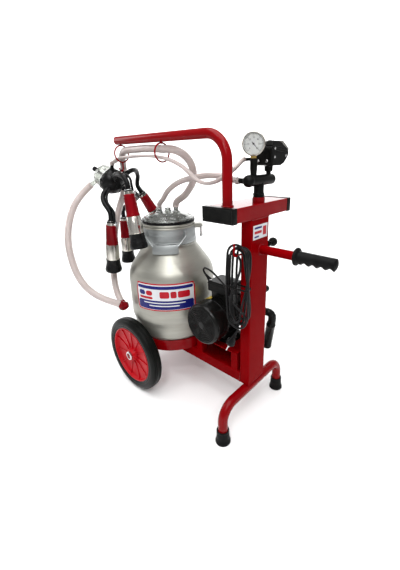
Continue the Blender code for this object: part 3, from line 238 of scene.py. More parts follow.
SATIN_BLACK = surface(
    "satin_black", (0.0028, 0.0029, 0.0028), 0.30, (0.0060, 0.0061, 0.0056), 60, bump=0.3, bump_scale=900,
    Specular_IOR_Level=0.08,
)
COWL_BLACK = surface(
    "cowl_black", (0.0036, 0.0036, 0.0034), 0.20, (0.0060, 0.0060, 0.0056), 30, 0.05, bump=0.12,
    bump_scale=160,
    Specular_IOR_Level=0.20,
)
RUBBER = surface(
    "black_rubber", (0.0034, 0.0034, 0.0035), 0.44, (0.0070, 0.0070, 0.0072), 35, 0.08, bump=0.25,
    bump_scale=420,
    Specular_IOR_Level=0.08,
)
SOFT_RUBBER = surface(
    "soft_rubber", (0.0038, 0.0038, 0.0040), 0.26, (0.0080, 0.0080, 0.0084), 40, 0.07, bump=0.15,
    bump_scale=260,
    Specular_IOR_Level=0.12,
)
TYRE = surface(
    "tyre_rubber", (0.0034, 0.0038, 0.0034), 0.34, (0.0065, 0.0072, 0.0064), 22, 0.09, bump=0.35,
    bump_scale=350,
    Specular_IOR_Level=0.10,
)
CABLE = surface(
    "cable", (0.0050, 0.0050, 0.0054), 0.32, (0.0100, 0.0100, 0.0104), 50, bump=0.2, bump_scale=300,
    Specular_IOR_Level=0.12,
)
CAN_METAL = surface(
    "can_aluminium", (0.310, 0.306, 0.274), 0.42, (0.380, 0.374, 0.330), 7, 0.06, (1, 1, 6), 0.15, 260,
    0.0002,
    Metallic=0.82,
)
COLLAR_METAL = surface(
    "collar_aluminium", (0.34, 0.36, 0.36), 0.42, (0.27, 0.285, 0.285), 9, 0.07, (1, 1, 5), 0.15, 260, 0.0002,
    Metallic=0.70,
)
STEEL = surface(
    "stainless", (0.60, 0.57, 0.52), 0.20, (0.48, 0.45, 0.40), 18, 0.06, (1, 1, 9), 0.15, 300, 0.0001,
    Metallic=1.0,
)
# Stainless steel of the cup shells. Its colour swings from bright to near black in streaks along the height:
# painted reflection bands.
SHELL_STEEL_PAINTED_REFLECTION = surface(
    "shell_stainless_painted_reflection", (0.80, 0.77, 0.71), 0.14, (0.115, 0.108, 0.095), 34, 0.04, (1, 1, 0.10), 0.05, 300,
    0.0001,
    Metallic=1.0,
)
PLATED = surface("plated", (0.66, 0.66, 0.66), 0.22, (0.50, 0.50, 0.50), 90, 0.08, Metallic=1.0)
CAST_GREY = surface(
    "cast_grey", (0.30, 0.29, 0.27), 0.38, (0.22, 0.21, 0.195), 50, 0.08, bump=0.4, bump_scale=500,
    Metallic=0.5,
)
BRASS = surface("brass", (0.62, 0.44, 0.15), 0.24, (0.46, 0.31, 0.10), 80, 0.07, Metallic=1.0)
CLEAR = surface(
    "clear_plastic", (0.76, 0.78, 0.74), 0.08, (0.66, 0.68, 0.64), 20, 0.03, bump=0.05, bump_scale=80,
    Transmission_Weight=0.90, IOR=1.46,
)
LID_CLEAR = surface(
    "smoky_plastic", (0.50, 0.52, 0.49), 0.10, (0.42, 0.44, 0.41), 22, 0.03, bump=0.05, bump_scale=80,
    Transmission_Weight=0.85, IOR=1.46,
)
HOSE = surface(
    "clear_hose", (0.70, 0.62, 0.595), 0.14, (0.63, 0.55, 0.525), 25, 0.04, bump=0.02, bump_scale=60,
    Transmission_Weight=0.50, IOR=1.40, Specular_IOR_Level=0.6,
)
GLASS = surface(
    "dial_glass", (0.97, 0.98, 0.97), 0.05, (0.94, 0.95, 0.95), 30, 0.02, bump=0.03,
    Transmission_Weight=0.97, IOR=1.2,
)
WHITE = surface("dial_white", (0.78, 0.79, 0.78), 0.45, (0.72, 0.73, 0.72), 60, bump=0.1)
INK = surface("ink", (0.020, 0.020, 0.025), 0.50, scale=200)
LABEL_WHITE = surface(
    "label_white", (0.60, 0.61, 0.64), 0.30, (0.55, 0.56, 0.59), 40, bump=0.05, Coat_Weight=0.3,
)
LABEL_RED = surface("label_red", (0.42, 0.006, 0.016), 0.34, scale=60, bump=0.05, Specular_IOR_Level=0.2)
LABEL_NAVY = surface("label_navy", (0.008, 0.010, 0.13), 0.34, scale=60, bump=0.05, Specular_IOR_Level=0.2)
LABEL_YELLOW = surface("label_yellow", (0.66, 0.46, 0.03), 0.35, scale=60, bump=0.05, Coat_Weight=0.3)
FLOOR = surface(
    "floor", (0.93, 0.93, 0.93), 0.85, (0.92, 0.92, 0.92), 3, 0.05, bump=0.05, bump_scale=60,
    Specular_IOR_Level=0.2,
)


# Shapes


def place(obj, paint, body="frame", stands_for=()):
    """Gives a piece its material, and makes it ride on its body and stand for its CAD nodes."""
    obj.data.materials.clear()
    obj.data.materials.append(paint)
    if not obj.users_collection:
        bpy.context.scene.collection.objects.link(obj)
    if body:
        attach(obj, body)
    if stands_for:
        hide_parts(*stands_for)
    return obj


def object_from(name, bm, angle=32):
    bmesh.ops.recalc_face_normals(bm, faces=bm.faces)
    mesh = bpy.data.meshes.new(name)
    bm.to_mesh(mesh)
    bm.free()
    mesh.shade_smooth()
    mesh.set_sharp_from_angle(angle=radians(angle))
    return bpy.data.objects.new(name, mesh)


def add_faces_between(bm, first, second):
    """Joins two closed loops of as many points by a band of faces."""
    for k in range(len(first)):
        m = (k + 1) % len(first)
        bm.faces.new((first[k], second[k], second[m], first[m]))


def mirrored(profile):
    """The profile's points in turn, on the other side of height 0, for the second half of an even piece."""
    return [(radius, -height) for radius, height in reversed(profile)]


def add_prism(bm, front, back):
    """Adds a solid between two matching outlines of points."""
    front, back = [[bm.verts.new(p) for p in outline] for outline in (front, back)]
    bm.faces.new(front)
    bm.faces.new(back[::-1])
    add_faces_between(bm, front, back)


def circle_way(angle, first=FORWARD, second=UP):
    """The way at an angle from the first way towards the second."""
    return cos(angle) * first + sin(angle) * second


def add_lathe(bm, profile, origin, direction, steps=64, closed=False):
    """Adds a turned shape of (radius, height) points. A point with no radius is on the axis."""
    matrix = turn_to(direction, origin)
    rings = []
    for radius, height in profile:
        if radius <= 0:
            rings.append([bm.verts.new(matrix @ Vector((0, 0, height)))])
            continue
        ring = []
        for i in range(steps):
            angle = 2 * pi * i / steps
            ring.append(bm.verts.new(matrix @ Vector((radius * cos(angle), radius * sin(angle), height))))
        rings.append(ring)
    pairs = list(zip(rings, rings[1:]))
    if closed:
        pairs.append((rings[-1], rings[0]))
    for a, b in pairs:
        for i in range(steps):
            j = (i + 1) % steps
            if len(a) == 1 and len(b) == 1:
                continue
            if len(a) == 1:
                bm.faces.new((a[0], b[i], b[j]))
            elif len(b) == 1:
                bm.faces.new((a[i], b[0], a[j]))
            else:
                bm.faces.new((a[i], b[i], b[j], a[j]))


def lathe(name, profile, origin, direction=UP, steps=64, closed=False, angle=32):
    bm = bmesh.new()
    add_lathe(bm, profile, origin, direction, steps, closed)
    return object_from(name, bm, angle)


def rod_profile(length, radius, edge):
    return [
        (0, 0), (radius - edge, 0), (radius, edge), (radius, length - edge), (radius - edge, length),
        (0, length),
    ]


def add_rod(bm, start, end, radius, edge=0.0004, steps=24):
    start, end = Vector(start), Vector(end)
    add_lathe(bm, rod_profile((end - start).length, radius, edge), start, end - start, steps)


def rods(name, ends, radius, edge=0.0004, steps=24):
    bm = bmesh.new()
    for start, end in ends:
        add_rod(bm, start, end, radius, edge, steps)
    return object_from(name, bm)


def add_ring(bm, origin, direction, radius, wire, steps, sides):
    circle = [(radius + wire * cos(2 * pi * i / sides), wire * sin(2 * pi * i / sides)) for i in range(sides)]
    add_lathe(bm, circle, origin, direction, steps, closed=True)


def rings(name, facts, steps, sides):
    """Several tori in one piece: (origin, direction, radius, wire) each."""
    bm = bmesh.new()
    for origin, direction, radius, wire in facts:
        add_ring(bm, origin, direction, radius, wire, steps, sides)
    return object_from(name, bm, 80)


def bevel_edges(bm, edges, offset, segments, profile=0.5):
    """Bevels edges: round with a profile of 0.5, cut inwards with 0."""
    bmesh.ops.bevel(
        bm, geom=edges, offset=offset, segments=segments, affect="EDGES", profile=profile, clamp_overlap=True
    )


def add_box(bm, low, high, matrix=Matrix()):
    low, high = Vector(low), Vector(high)
    for vertex in bmesh.ops.create_cube(bm, size=1.0)["verts"]:
        vertex.co = matrix @ (Vector([a * b for a, b in zip(vertex.co, high - low)]) + (low + high) / 2)


def boxes(name, facts, rounded, segments):
    bm = bmesh.new()
    for low, high in facts:
        add_box(bm, low, high)
    bevel_edges(bm, bm.edges[:], rounded, segments)
    return object_from(name, bm)


def frames_along(points):
    """A steady pair of cross vectors at each point of a path."""
    before, after = [points[0], *points[:-1]], [*points[1:], points[-1]]
    ways = [(b - a).normalized() for a, b in zip(before, after)]
    side = ways[0].cross(UP if abs(ways[0].z) < 0.9 else FORWARD).normalized()
    found = []
    for way in ways:
        side = (side - side.dot(way) * way).normalized()
        found.append((side, way.cross(side)))
    return found


def add_sweep(bm, points, radius, sides, inner=None, offset=(0, 0)):
    """Adds a round bar or, with an inner radius, a tube along the points, set off by (side, lift)."""
    crossings = frames_along(points)
    shells = [radius] if inner is None else [radius, inner]
    made = []
    for shell in shells:
        loops = []
        for point, (side, lift) in zip(points, crossings):
            middle = point + offset[0] * side + offset[1] * lift
            around = [circle_way(2 * pi * k / sides, side, lift) for k in range(sides)]
            loops.append([bm.verts.new(middle + shell * way) for way in around])
        made.append(loops)
        for a, b in zip(loops, loops[1:]):
            for k in range(sides):
                m = (k + 1) % sides
                face = (a[k], a[m], b[m], b[k])
                bm.faces.new(face if shell == radius else face[::-1])
    for end in (0, -1):
        if inner is None:
            loop = made[0][end]
            bm.faces.new(loop[::-1] if end == 0 else loop)
        else:
            add_faces_between(bm, made[0][end], made[1][end])


def sweep(name, points, radius, sides, inner=None):
    bm = bmesh.new()
    add_sweep(bm, points, radius, sides, inner)
    return object_from(name, bm, 50)


def repaint(paint, *names):
    """Gives CAD nodes that stay in view their material."""
    for name in names:
        obj = frame["nodes"][name]
        obj.data.materials.clear()
        obj.data.materials.append(paint)


# Camera


def make_camera():
    way = Vector(
        (-sin(CAMERA_TURN) * cos(CAMERA_PITCH), cos(CAMERA_TURN) * cos(CAMERA_PITCH), -sin(CAMERA_PITCH))
    )
    level = Vector((cos(CAMERA_TURN), sin(CAMERA_TURN), 0))
    lift = level.cross(way)
    right = level * cos(CAMERA_ROLL) + lift * sin(CAMERA_ROLL)
    above = -level * sin(CAMERA_ROLL) + lift * cos(CAMERA_ROLL)
    camera = bpy.data.cameras.new("camera")
    camera.sensor_width = SENSOR
    camera.lens = LENS
    camera.shift_x, camera.shift_y = SHIFT_X, SHIFT_Y
    camera.clip_start = 0.05
    obj = bpy.data.objects.new("camera", camera)
    obj.matrix_world = Matrix.Translation(CAMERA_AT) @ Matrix((right, above, -way)).transposed().to_4x4()
    bpy.context.scene.collection.objects.link(obj)
    bpy.context.scene.camera = obj


make_camera()

# Hoses and cords. The routes are the CAD's.

MILK_LID_ROUTE = mm(
    (-152.9, 20.1, 694.3), (-150.2, 20.5, 709), (-128.7, 21.5, 725), (-96.7, 18, 742), (-63.7, 8, 765),
    (-31.7, -6, 790), (-11.7, -22, 816), (1.3, -42, 844), (0.3, -62, 867), (-13.7, -78, 882),
    (-38.7, -87, 888.5), (-65.9, -90, 889.5),
)
MILK_ARM_ROUTE = mm(
    (-66.5, -90, 889.5), (-118.7, -90.5, 892.5), (-173.7, -90, 893.5), (-228.7, -89.5, 892.5),
    (-284.2, -88, 887), (-323.7, -72, 864), (-356.7, -50, 828), (-374.7, -40, 785), (-379.7, -50, 735),
    (-375.7, -78, 680), (-370.7, -103, 620), (-368.7, -122, 555), (-362.1, -136, 490),
    (-348.8, -150, 447.1), (-325.5, -164, 402.9), (-299.8, -172.5, 370.9), (-273.1, -177.4, 348.7),
)
MILK_CLAW_ROUTE = mm(
    (-251, -197.5, 352), (-265.9, -212.9, 361.7), (-288.8, -235.8, 377.1), (-320.8, -259.7, 401.8),
    (-356.5, -277.5, 443.8), (-391, -282.4, 509.2), (-419.5, -272.2, 587), (-433.7, -246.5, 659.7),
    (-437.2, -215, 712), (-434.7, -185, 744),
)
VACUUM_ROUTE = mm(
    (171, -22, 800), (156.3, -25, 801.5), (136.3, -34, 808), (103.3, -43, 814), (66.3, -50, 813),
    (31.3, -53, 808), (-8.7, -52, 801), (-53.7, -47, 790), (-98.7, -40, 772), (-141.7, -31, 747),
    (-178.7, -22, 719), (-195.2, -20.2, 705), (-197.5, -20.1, 694.3),
)
PULSE_ROUTE = mm(
    (179, 0, 857), (173.3, -6, 855), (170.3, -26, 843), (161.3, -50, 825), (139.3, -67, 806),
    (99.3, -76, 794), (57.3, -80, 804), (25.3, -86, 830), (-13.7, -97, 853), (-66.2, -103, 866),
    (-128.7, -103, 870.5), (-188.7, -103, 871), (-243.7, -102.5, 869), (-284.2, -102.5, 866),
    (-313.7, -107.5, 857), (-330.7, -112, 843),
)
LEAD_ROUTE = mm(
    (15.3, -18, 495), (23.3, -23, 507), (46.3, -33, 514), (76.3, -45, 515), (106.3, -56, 510),
    (136.3, -66, 502), (156.3, -72, 492), (173, -76.5, 479),
)
TAIL_ROUTE = mm(
    (211.3, -76.5, 371.7), (210.3, -78.5, 366), (207.8, -82, 358), (204.7, -84.8, 350),
)

MILK_RADIUS, VACUUM_RADIUS = 0.012, 0.009
CORD_RADIUS, CUP_TUBE_RADIUS = 0.0035, 0.0042
WALL_SHARE = 0.68
TWIN_RADIUS, TWIN_BORE, TWIN_HALF, TWIN_WIDTH = 0.0049, 0.0031, 0.0048, 0.0194
GAP = 0.0003
ARM_RADIUS, LEG_RADIUS, COLUMN_HALF, CAN_RADIUS = 0.014, 0.016, 0.045, 0.162
BAIL_TURNS = {"left": 222, "right": 42}
DIAL_START, DIAL_SWEEP = -48, 276
FIRST_STICKER_ANGLE, STICKER_SPAN, STICKER_STEPS = 102, 38, 12
CLAW = Vector((-0.3487, -0.107, 0.785))
CLAW_WAY = Vector((-0.80, -0.30, 0.52)).normalized()
OUTLET_WAY = Vector((-0.605, -0.551, -0.574)).normalized()
OUTLET = CLAW + 0.045 * CLAW_WAY
PULSE_NIPPLE_WAY = Vector((-0.18, -0.06, -0.98)).normalized()
PLUG_WAY = Vector((-0.40, -0.11, -0.91)).normalized()
GLAND, GLAND_LENGTH = Vector((0.0480, -0.012, 0.458)), 0.034
GLAND_WAY = Vector((-0.72, -0.10, 0.69)).normalized()

CUPS = {
    "1": ((-0.2857, -0.170, 0.653), (-0.126, 0.0, -0.992)),
    "2": ((-0.1787, -0.155, 0.765), (0.156, 0.0, -0.988)),
    "3": ((-0.4277, -0.030, 0.630), (0.0, 0.0, -1.0)),
    "4": ((-0.3627, 0.025, 0.731), (0.050, 0.502, -0.863)),
}
SHORT_TUBES = {
    "1": mm((-334.7, -133, 768), (-330.7, -160, 745), (-308.7, -172, 715)),
    "2": mm((-316.7, -120, 790), (-278.7, -140, 806), (-228.7, -154, 815)),
    "3": mm((-330.7, -85, 764), (-320.7, -50, 748), (-343.7, -10, 722), (-398.7, -8, 694)),
    "4": mm((-322.7, -90, 792), (-303.7, -65, 818), (-316.7, -30, 822), (-344.7, 0, 795)),
}


def ride_between(obj):
    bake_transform(obj)


def hose(name, route, radius, start_way, end_way, bodies, cad):
    """A clear hose with its own wall along a CAD route."""
    points = squared(smooth(route, 0.009), start_way, end_way)
    obj = sweep(name, points, radius, sides=28, inner=WALL_SHARE * radius)
    if len(bodies) == 1:
        place(obj, HOSE, bodies[0], (cad,))
    else:
        place(obj, HOSE, None, (cad,))
        ride_between(obj)


def make_hoses():
    arm_end, joiner_exit = Vector(MILK_ARM_ROUTE[-1]), Vector(MILK_CLAW_ROUTE[0])
    joiner_in = (arm_end - Vector(MILK_ARM_ROUTE[-2])).normalized()
    joiner_out = (Vector(MILK_CLAW_ROUTE[1]) - joiner_exit).normalized()
    hose("milk_hose_lid_tube", MILK_LID_ROUTE, MILK_RADIUS, UP, ALONG_ARM, ("lid", "frame"), "milk_hose_lid")
    hose(
        "milk_hose_arm_tube", MILK_ARM_ROUTE, MILK_RADIUS, ALONG_ARM, joiner_in, ("frame", "cluster"),
        "milk_hose_arm",
    )
    to_outlet = [*MILK_CLAW_ROUTE, OUTLET + 0.0588 * OUTLET_WAY]
    hose(
        "milk_hose_claw_tube", to_outlet, MILK_RADIUS, joiner_out, -OUTLET_WAY, ("cluster",),
        "milk_hose_claw",
    )
    hose("vacuum_hose_tube", VACUUM_ROUTE, VACUUM_RADIUS, ALONG_ARM, DOWN, ("frame", "lid"), "vacuum_hose")

    points = squared(smooth(PULSE_ROUTE, 0.009), ALONG_ARM, PULSE_NIPPLE_WAY)
    bm = bmesh.new()
    for side in (-1, 1):
        add_sweep(bm, points, TWIN_RADIUS, 20, inner=TWIN_BORE, offset=(TWIN_HALF * side, 0))
    twin = place(object_from("pulse_twin_tube", bm, 50), HOSE, None, ("pulse_tube",))
    ride_between(twin)

    first, last = arm_end + GAP * joiner_in, joiner_exit - GAP * joiner_out
    bend = [
        first,
        first + 0.009 * joiner_in,
        first.lerp(last, 0.3) + 0.021 * joiner_in,
        first.lerp(last, 0.7) - 0.021 * joiner_out,
        last - 0.009 * joiner_out,
        last,
    ]
    points = squared(smooth(bend, 0.003), joiner_in, joiner_out)
    bm = bmesh.new()
    add_sweep(bm, points, 0.0132, 32)
    for end, way in ((points[0], joiner_in), (points[-1], -joiner_out)):
        add_lathe(bm, mm((12.5, -6), (14, -5), (14.5, -1), (14.5, 4), (13, 6)), end + 0.006 * way, way, 40)
    # The joiner's red carries the sleeve's painted highlight and shade bands.
    place(object_from("joiner_bend", bm, 40), SLEEVE_RED_PAINTED_HIGHLIGHTS, "cluster", ("hose_joiner",))


def racetrack(half_width, low, high, x, y, steps=10):
    points = []
    for middle, start in ((high - half_width, 0.0), (low + half_width, pi)):
        for i in range(steps + 1):
            angle = start + pi * i / steps
            points.append(Vector((x + half_width * cos(angle), y, middle + half_width * sin(angle))))
    return points


def make_cord():
    """The whole power cord: out of the box, round and round the hook, and down to the plug."""
    low, high = box_of("cord_hank")
    x, y = (low.x + high.x) / 2, (low.y + high.y) / 2
    start = GLAND + (GLAND_LENGTH + GAP) * GLAND_WAY
    lead = [start, *[Vector(p) for p in LEAD_ROUTE[:-1]]]
    join = Vector((low.x + 0.0040, y - 0.004, 0.4660))
    turns = []
    loops = (
        (0.0340, 0.000, 0.000, -0.0086, 0.0000),
        (0.0262, 0.006, 0.012, -0.0022, 0.0080),
        (0.0250, 0.016, 0.004, 0.0048, -0.0090),
        (0.0225, 0.010, 0.024, 0.0090, 0.0110),
        (0.0225, 0.028, 0.014, -0.0060, -0.0115),
    )
    for half, down, lift, across, shift in loops:
        turns.extend(
            reversed(racetrack(half, low.z + 0.005 + lift, high.z - 0.005 - down, x + shift, y + across)),
        )
    down_to_tail = [Vector((x - 0.022, y - 0.0105, 0.47)), Vector((x - 0.012, y - 0.0100, 0.41))]
    route = [*lead, join, *turns, *down_to_tail, *[Vector(p) for p in TAIL_ROUTE[1:]]]
    points = squared(smooth(route, 0.006), GLAND_WAY, PLUG_WAY)
    curve = bpy.data.curves.new("power_cord", "CURVE")
    curve.dimensions = "3D"
    curve.bevel_depth = CORD_RADIUS
    curve.bevel_resolution = 5
    curve.use_fill_caps = True
    spline = curve.splines.new("POLY")
    spline.points.add(len(points) - 1)
    for spline_point, point in zip(spline.points, points):
        spline_point.co = (*point, 1)
    cord = bpy.data.objects.new("power_cord", curve)
    place(cord, CABLE, "frame", ("cord_lead", "cord_hank", "cord_tail"))
    plug = make_plug(points[-1])


def make_plug(start):
    body = lathe(
        "plug_body",
        mm(
            (0, -1), (5, 0), (5.6, 2), (4.9, 4), (6, 6), (5.2, 8), (6.6, 10), (6, 12), (7.8, 16), (12, 24),
            (14.8, 31), (15.2, 37), (14.4, 38.5), (0, 38.5),
        ),
        start, PLUG_WAY, 48,
    )
    place(body, SOFT_RUBBER, "frame", ("power_plug",))
    side = PLUG_WAY.cross(UP).normalized()
    foot = start + 0.038 * PLUG_WAY
    feet = [foot + reach * side for reach in (-0.0085, 0.0085)]
    pins = rods("plug_pins", [(at, at + 0.0240 * PLUG_WAY) for at in feet], 0.0024, 0.0007)
    place(pins, PLATED, "frame")
    return [body, pins]


def make_cup_tubes():
    """The thin black tube from the claw to each cup's shell."""
    for number, (top, down) in CUPS.items():
        top, down = Vector(top), Vector(down).normalized()
        short = [Vector(p) for p in SHORT_TUBES[number]]
        side = (short[0] - CLAW).normalized().cross(down).normalized()
        away = 0.0138
        route = [
            short[0] + 0.5 * away * side + 0.004 * (short[0] - CLAW).normalized(),
            *[p + away * side for p in short[1:]],
            top - 0.034 * down + away * side,
            top - 0.010 * down + away * side,
            top + 0.006 * down + 0.0165 * side,
        ]
        points = smooth(route, 0.006)
        tube = place(sweep(f"cup_tube_{number}", points, CUP_TUBE_RADIUS, 14), SOFT_RUBBER, "cluster")


make_hoses()
make_cord()
make_cup_tubes()


# Frame


def make_frame():
    repaint(RED_SHEET, "base_frame", "column_tank")
    repaint(RED_PAINT, "top_tank")
    rolled = mm(
        (146.2, 223.4), (147, 224.2), (149.8, 224.2), (151, 223.2), (151.3, 221.5), (151.3, 184.2),
        (150.8, 182.6), (149.5, 182.1), (146.2, 182.1),
    )
    place(lathe("cradle_band", rolled, CAN, UP, 160, closed=True), RED_PAINT)
    low, high = box_of("hanger_arm")
    post = Vector((high.x - ARM_RADIUS, (low.y + high.y) / 2, low.z))
    bend_top = Vector((post.x, post.y, high.z - ARM_RADIUS))
    end = Vector((low.x, post.y, high.z - ARM_RADIUS))
    arm = round_corners([post, bend_top, end], 0.070, 16)
    place(sweep("arm_tube", arm, ARM_RADIUS, 40), RED_PAINT, "frame", ("hanger_arm",))
    plug = mm((0, -6), (11.9, -6), (11.9, 0), (0, 0.4))
    place(lathe("arm_plug", plug, end + 0.0055 * FORWARD, ALONG_ARM, 40), SATIN_BLACK)
    low, high = box_of("front_leg")
    x, left, right, z = (low.x + high.x) / 2, low.y + LEG_RADIUS, high.y - LEG_RADIUS, high.z - LEG_RADIUS
    leg = round_corners([(x, left, low.z), (x, left, z), (x, right, z), (x, right, low.z)], 0.050, 14)
    place(sweep("leg_tube", leg, LEG_RADIUS, 40), RED_PAINT, "frame", ("front_leg",))
    for name in ("outer", "inner"):
        low, high = box_of(f"hose_ring_{name}")
        middle = Vector((0, post.y, high.z - 0.029))
        middle.x = (low.x + high.x) / 2 if name == "inner" else high.x - 0.002
        bm = bmesh.new()
        add_ring(bm, middle, FORWARD, 0.0272, 0.0026, 80, 14)
        if name == "outer":
            bend_at = HOOK + 0.0125 * UP
            turn = [bend_at + 0.0125 * circle_way(-pi * i / 20) for i in range(21)]
            add_sweep(bm, [middle - 0.0265 * UP, *turn], 0.0025, 14)
        place(object_from(f"ring_{name}_wire", bm, 60), RED_PAINT, "frame", (f"hose_ring_{name}",))
    beads = [
        (post + 0.0012 * UP, UP, 0.0150, 0.0019),
        (Vector((TOP_HIGH.x, 0.0067, 0.605)), FORWARD, 0.0142, 0.0030),
        (Vector((middle.x, post.y, middle.z + 0.0275)), FORWARD, 0.0022, 0.0012),
    ]
    weld = rings("weld_beads", beads, 60, 10)
    rough_up(weld, 0.0006, 7)
    place(weld, WELD)
    seams = []
    height = TOP_LOW.z + 0.0002
    for y in (-COLUMN_HALF, COLUMN_HALF):
        seams.append(((COLUMN_LOW.x + 0.002, y, height), (TOP_HIGH.x - 0.002, y, height)))
    seams.append(((TOP_HIGH.x, -COLUMN_HALF, TOP_LOW.z), (TOP_HIGH.x, COLUMN_HALF, TOP_LOW.z)))
    seams.append(((0.1944, -COLUMN_HALF, 0.1440), (0.1944, -COLUMN_HALF, 0.1825)))
    seam = rods("weld_seams", seams, 0.0016, 0.0006, 10)
    rough_up(seam, 0.0004, 9)
    place(seam, WELD)


def rough_up(obj, amount, seed):
    """Moves each point a little, for a hand-laid weld."""
    random = np.random.default_rng(seed)
    for vertex in obj.data.vertices:
        vertex.co += Vector(random.uniform(-amount, amount, 3))


def make_caps():
    for name, side in (("left", -1), ("right", 1)):
        low, high = box_of(f"top_cap_{name}")
        face = TOP_LOW.y if side < 0 else TOP_HIGH.y
        outside = low.y if side < 0 else high.y
        bm = bmesh.new()
        add_box(bm, (low.x, min(face, outside), low.z), (high.x, max(face, outside), high.z))
        end = max(bm.faces, key=lambda f: side * f.calc_center_median().y)
        bmesh.ops.inset_region(bm, faces=[end], thickness=0.0055, depth=0)
        bmesh.ops.inset_region(bm, faces=[end], thickness=0.0012, depth=-0.0012)
        edges = [e for e in bm.edges if e.is_manifold and e.calc_face_angle() > 0.5]
        bevel_edges(bm, edges, 0.0024, 4)
        place(object_from(f"cap_{name}_moulded", bm), SATIN_BLACK, "frame", (f"top_cap_{name}",))
        foot = centre(f"foot_{name}")
        profile = mm(
            (16.6, 47), (17.5, 48), (19.2, 47.8), (20, 46.5), (20.3, 42), (19.8, 40.5), (20.3, 39),
            (20.8, 22), (21.4, 18), (23.2, 9), (24, 8), (24.5, 6), (24.5, 0.8), (23.8, 0), (0, 0),
        )
        place(
            lathe(f"rubber_foot_{name}", profile, (foot.x, foot.y, 0), UP, 56), RUBBER, "frame",
            (f"foot_{name}",),
        )


def make_grip():
    """The hand grip, with finger waves along its underside and fine rings on top."""
    low, high = box_of("handle_grip")
    y, z = (low.y + high.y) / 2, (low.z + high.z) / 2
    start, end = low.x, high.x
    bm = bmesh.new()
    loops = []
    around, along = 56, 120
    for i in range(along + 1):
        t = i / along
        x = start + 0.0072 + (end - start - 0.0072) * t
        loop = []
        for k in range(around):
            angle = 2 * pi * k / around
            under = max(0.0, -sin(angle))
            radius = 0.0170 - 0.0012 * t
            wave = 0.5 + 0.5 * cos(2 * pi * (t * 4.6 + 0.12))
            if 0.08 < t < 0.95:
                radius += under * under * (0.0030 - 0.0062 * wave)
            radius += 0.00025 * (1 - under) * cos(2 * pi * t * 26)
            radius *= min(1.0, sqrt(max(0.0, (1.004 - t) / 0.045))) if t > 0.955 else 1.0
            loop.append(bm.verts.new((x, y + radius * cos(angle), z - 0.0006 + radius * sin(angle))))
        loops.append(loop)
    for first, second in zip(loops, loops[1:]):
        add_faces_between(bm, first, second)
    bm.faces.new(loops[-1])
    flange = mm((13.2, 0), (23.5, 0), (25, 1.4), (25, 5.2), (23.6, 6.8), (20, 7.6), (16.8, 10))
    add_lathe(bm, flange, (start, y, z), FORWARD, 56)
    place(object_from("grip_moulded", bm, 50), RUBBER, "frame", ("handle_grip",))
    collar = lathe(
        "handle_collar", mm((13.1, 0), (15, 0.6), (15.2, 4), (13.8, 5.2), (13.1, 6)),
        (start - 0.0063, y, z), FORWARD, 48,
    )
    place(collar, WELD)


# Wheels


def make_wheels():
    half = mm(
        (0, 205), (10.4, 205), (11.2, 208), (12.4, 208.5), (15.8, 207.8), (17, 206.4), (17, 204),
        (16, 203.5), (10, 203.5), (10, 151.2), (12.5, 150),
    )
    axle = lathe("axle_turned", half + mirrored(half), (AXLE.x, 0, AXLE.z), AXLE_WAY, 48)
    place(axle, PLATED, "frame", ("axle",))
    for name, side in (("left", -1), ("right", 1)):
        middle = centre(f"tyre_{name}")
        body = f"wheel_{name}"
        half = mm(
            (146, 0), (146, 5.2), (143.6, 5.6), (143.6, 7.2), (145.7, 7.7), (145, 11.8), (142.6, 12.4),
            (142.2, 13.8), (143.8, 14.6), (142, 17.2), (137, 20.4), (132, 22.2), (127, 23), (122.5, 22.6),
            (121.2, 21.6), (119.6, 21.8), (118, 22.4), (115, 21.6), (112, 20), (109.6, 19.2),
        )
        profile = half[::-1] + [(r, -h) for r, h in half[1:]]
        place(lathe(f"tyre_moulded_{name}", profile, middle, AXLE_WAY, 144), TYRE, body, (f"tyre_{name}",))
        rim = mm(
            (110, 19.4), (108.5, 20.5), (106, 20.6), (104.5, 19), (103.5, 12), (101, 8.8), (95, 7),
            (40, 6.4), (27, 7.6), (24.5, 11), (23, 20.5), (21.5, 22.2), (15, 22.5), (10.4, 22), (10.3, 0),
        )
        bm = bmesh.new()
        add_lathe(bm, rim + mirrored(rim[:-1]), middle, AXLE_WAY, 96)
        for face in (-1, 1):
            for i in range(11):
                spin = Matrix.Translation(middle) @ Matrix.Rotation(2 * pi * i / 11 + 0.13, 4, "Y")
                rib = mm(
                    (22.5, 5, 1.4), (22.5, 15, 0.7), (42, 9.6, 0.7), (90, 9.6, 0.7), (104, 14, 0.7),
                    (104.4, 5, 1.4),
                )
                left = [spin @ Vector((r, face * h, thick)) for r, h, thick in rib]
                right = [spin @ Vector((r, face * h, -thick)) for r, h, thick in rib]
                add_prism(bm, left, right)
        place(object_from(f"rim_moulded_{name}", bm, 40), RED_PLASTIC, body, (f"wheel_rim_{name}",))
        washers = bmesh.new()
        for face in (-1, 1):
            out = Vector((0, face, 0))
            washer = mm((11.2, 0), (11.2, 0.8), (15, 0.8), (15.6, 0.4), (15.6, 0))
            add_lathe(washers, washer, middle + 0.0224 * out, out, 48)
        place(object_from(f"hub_washer_{name}", washers), PLATED, body)
        dab = lathe(
            f"axle_paint_{name}", mm((0, 2.4), (8, 2.4), (11.2, 3.4), (12.2, 3), (12.4, 0)),
            (AXLE.x, side * 0.2050, AXLE.z), (0, side, 0), 40,
        )
        place(dab, WELD)


make_frame()
make_caps()
make_grip()
make_wheels()


# Motor, pump and terminal box


def on_shaft(name, profile, paint):
    """A turned piece on the motor's shaft; its profile's heights are Y positions."""
    place(lathe(name, profile, (SHAFT.x, 0, SHAFT.z), AXLE_WAY, 96), paint)


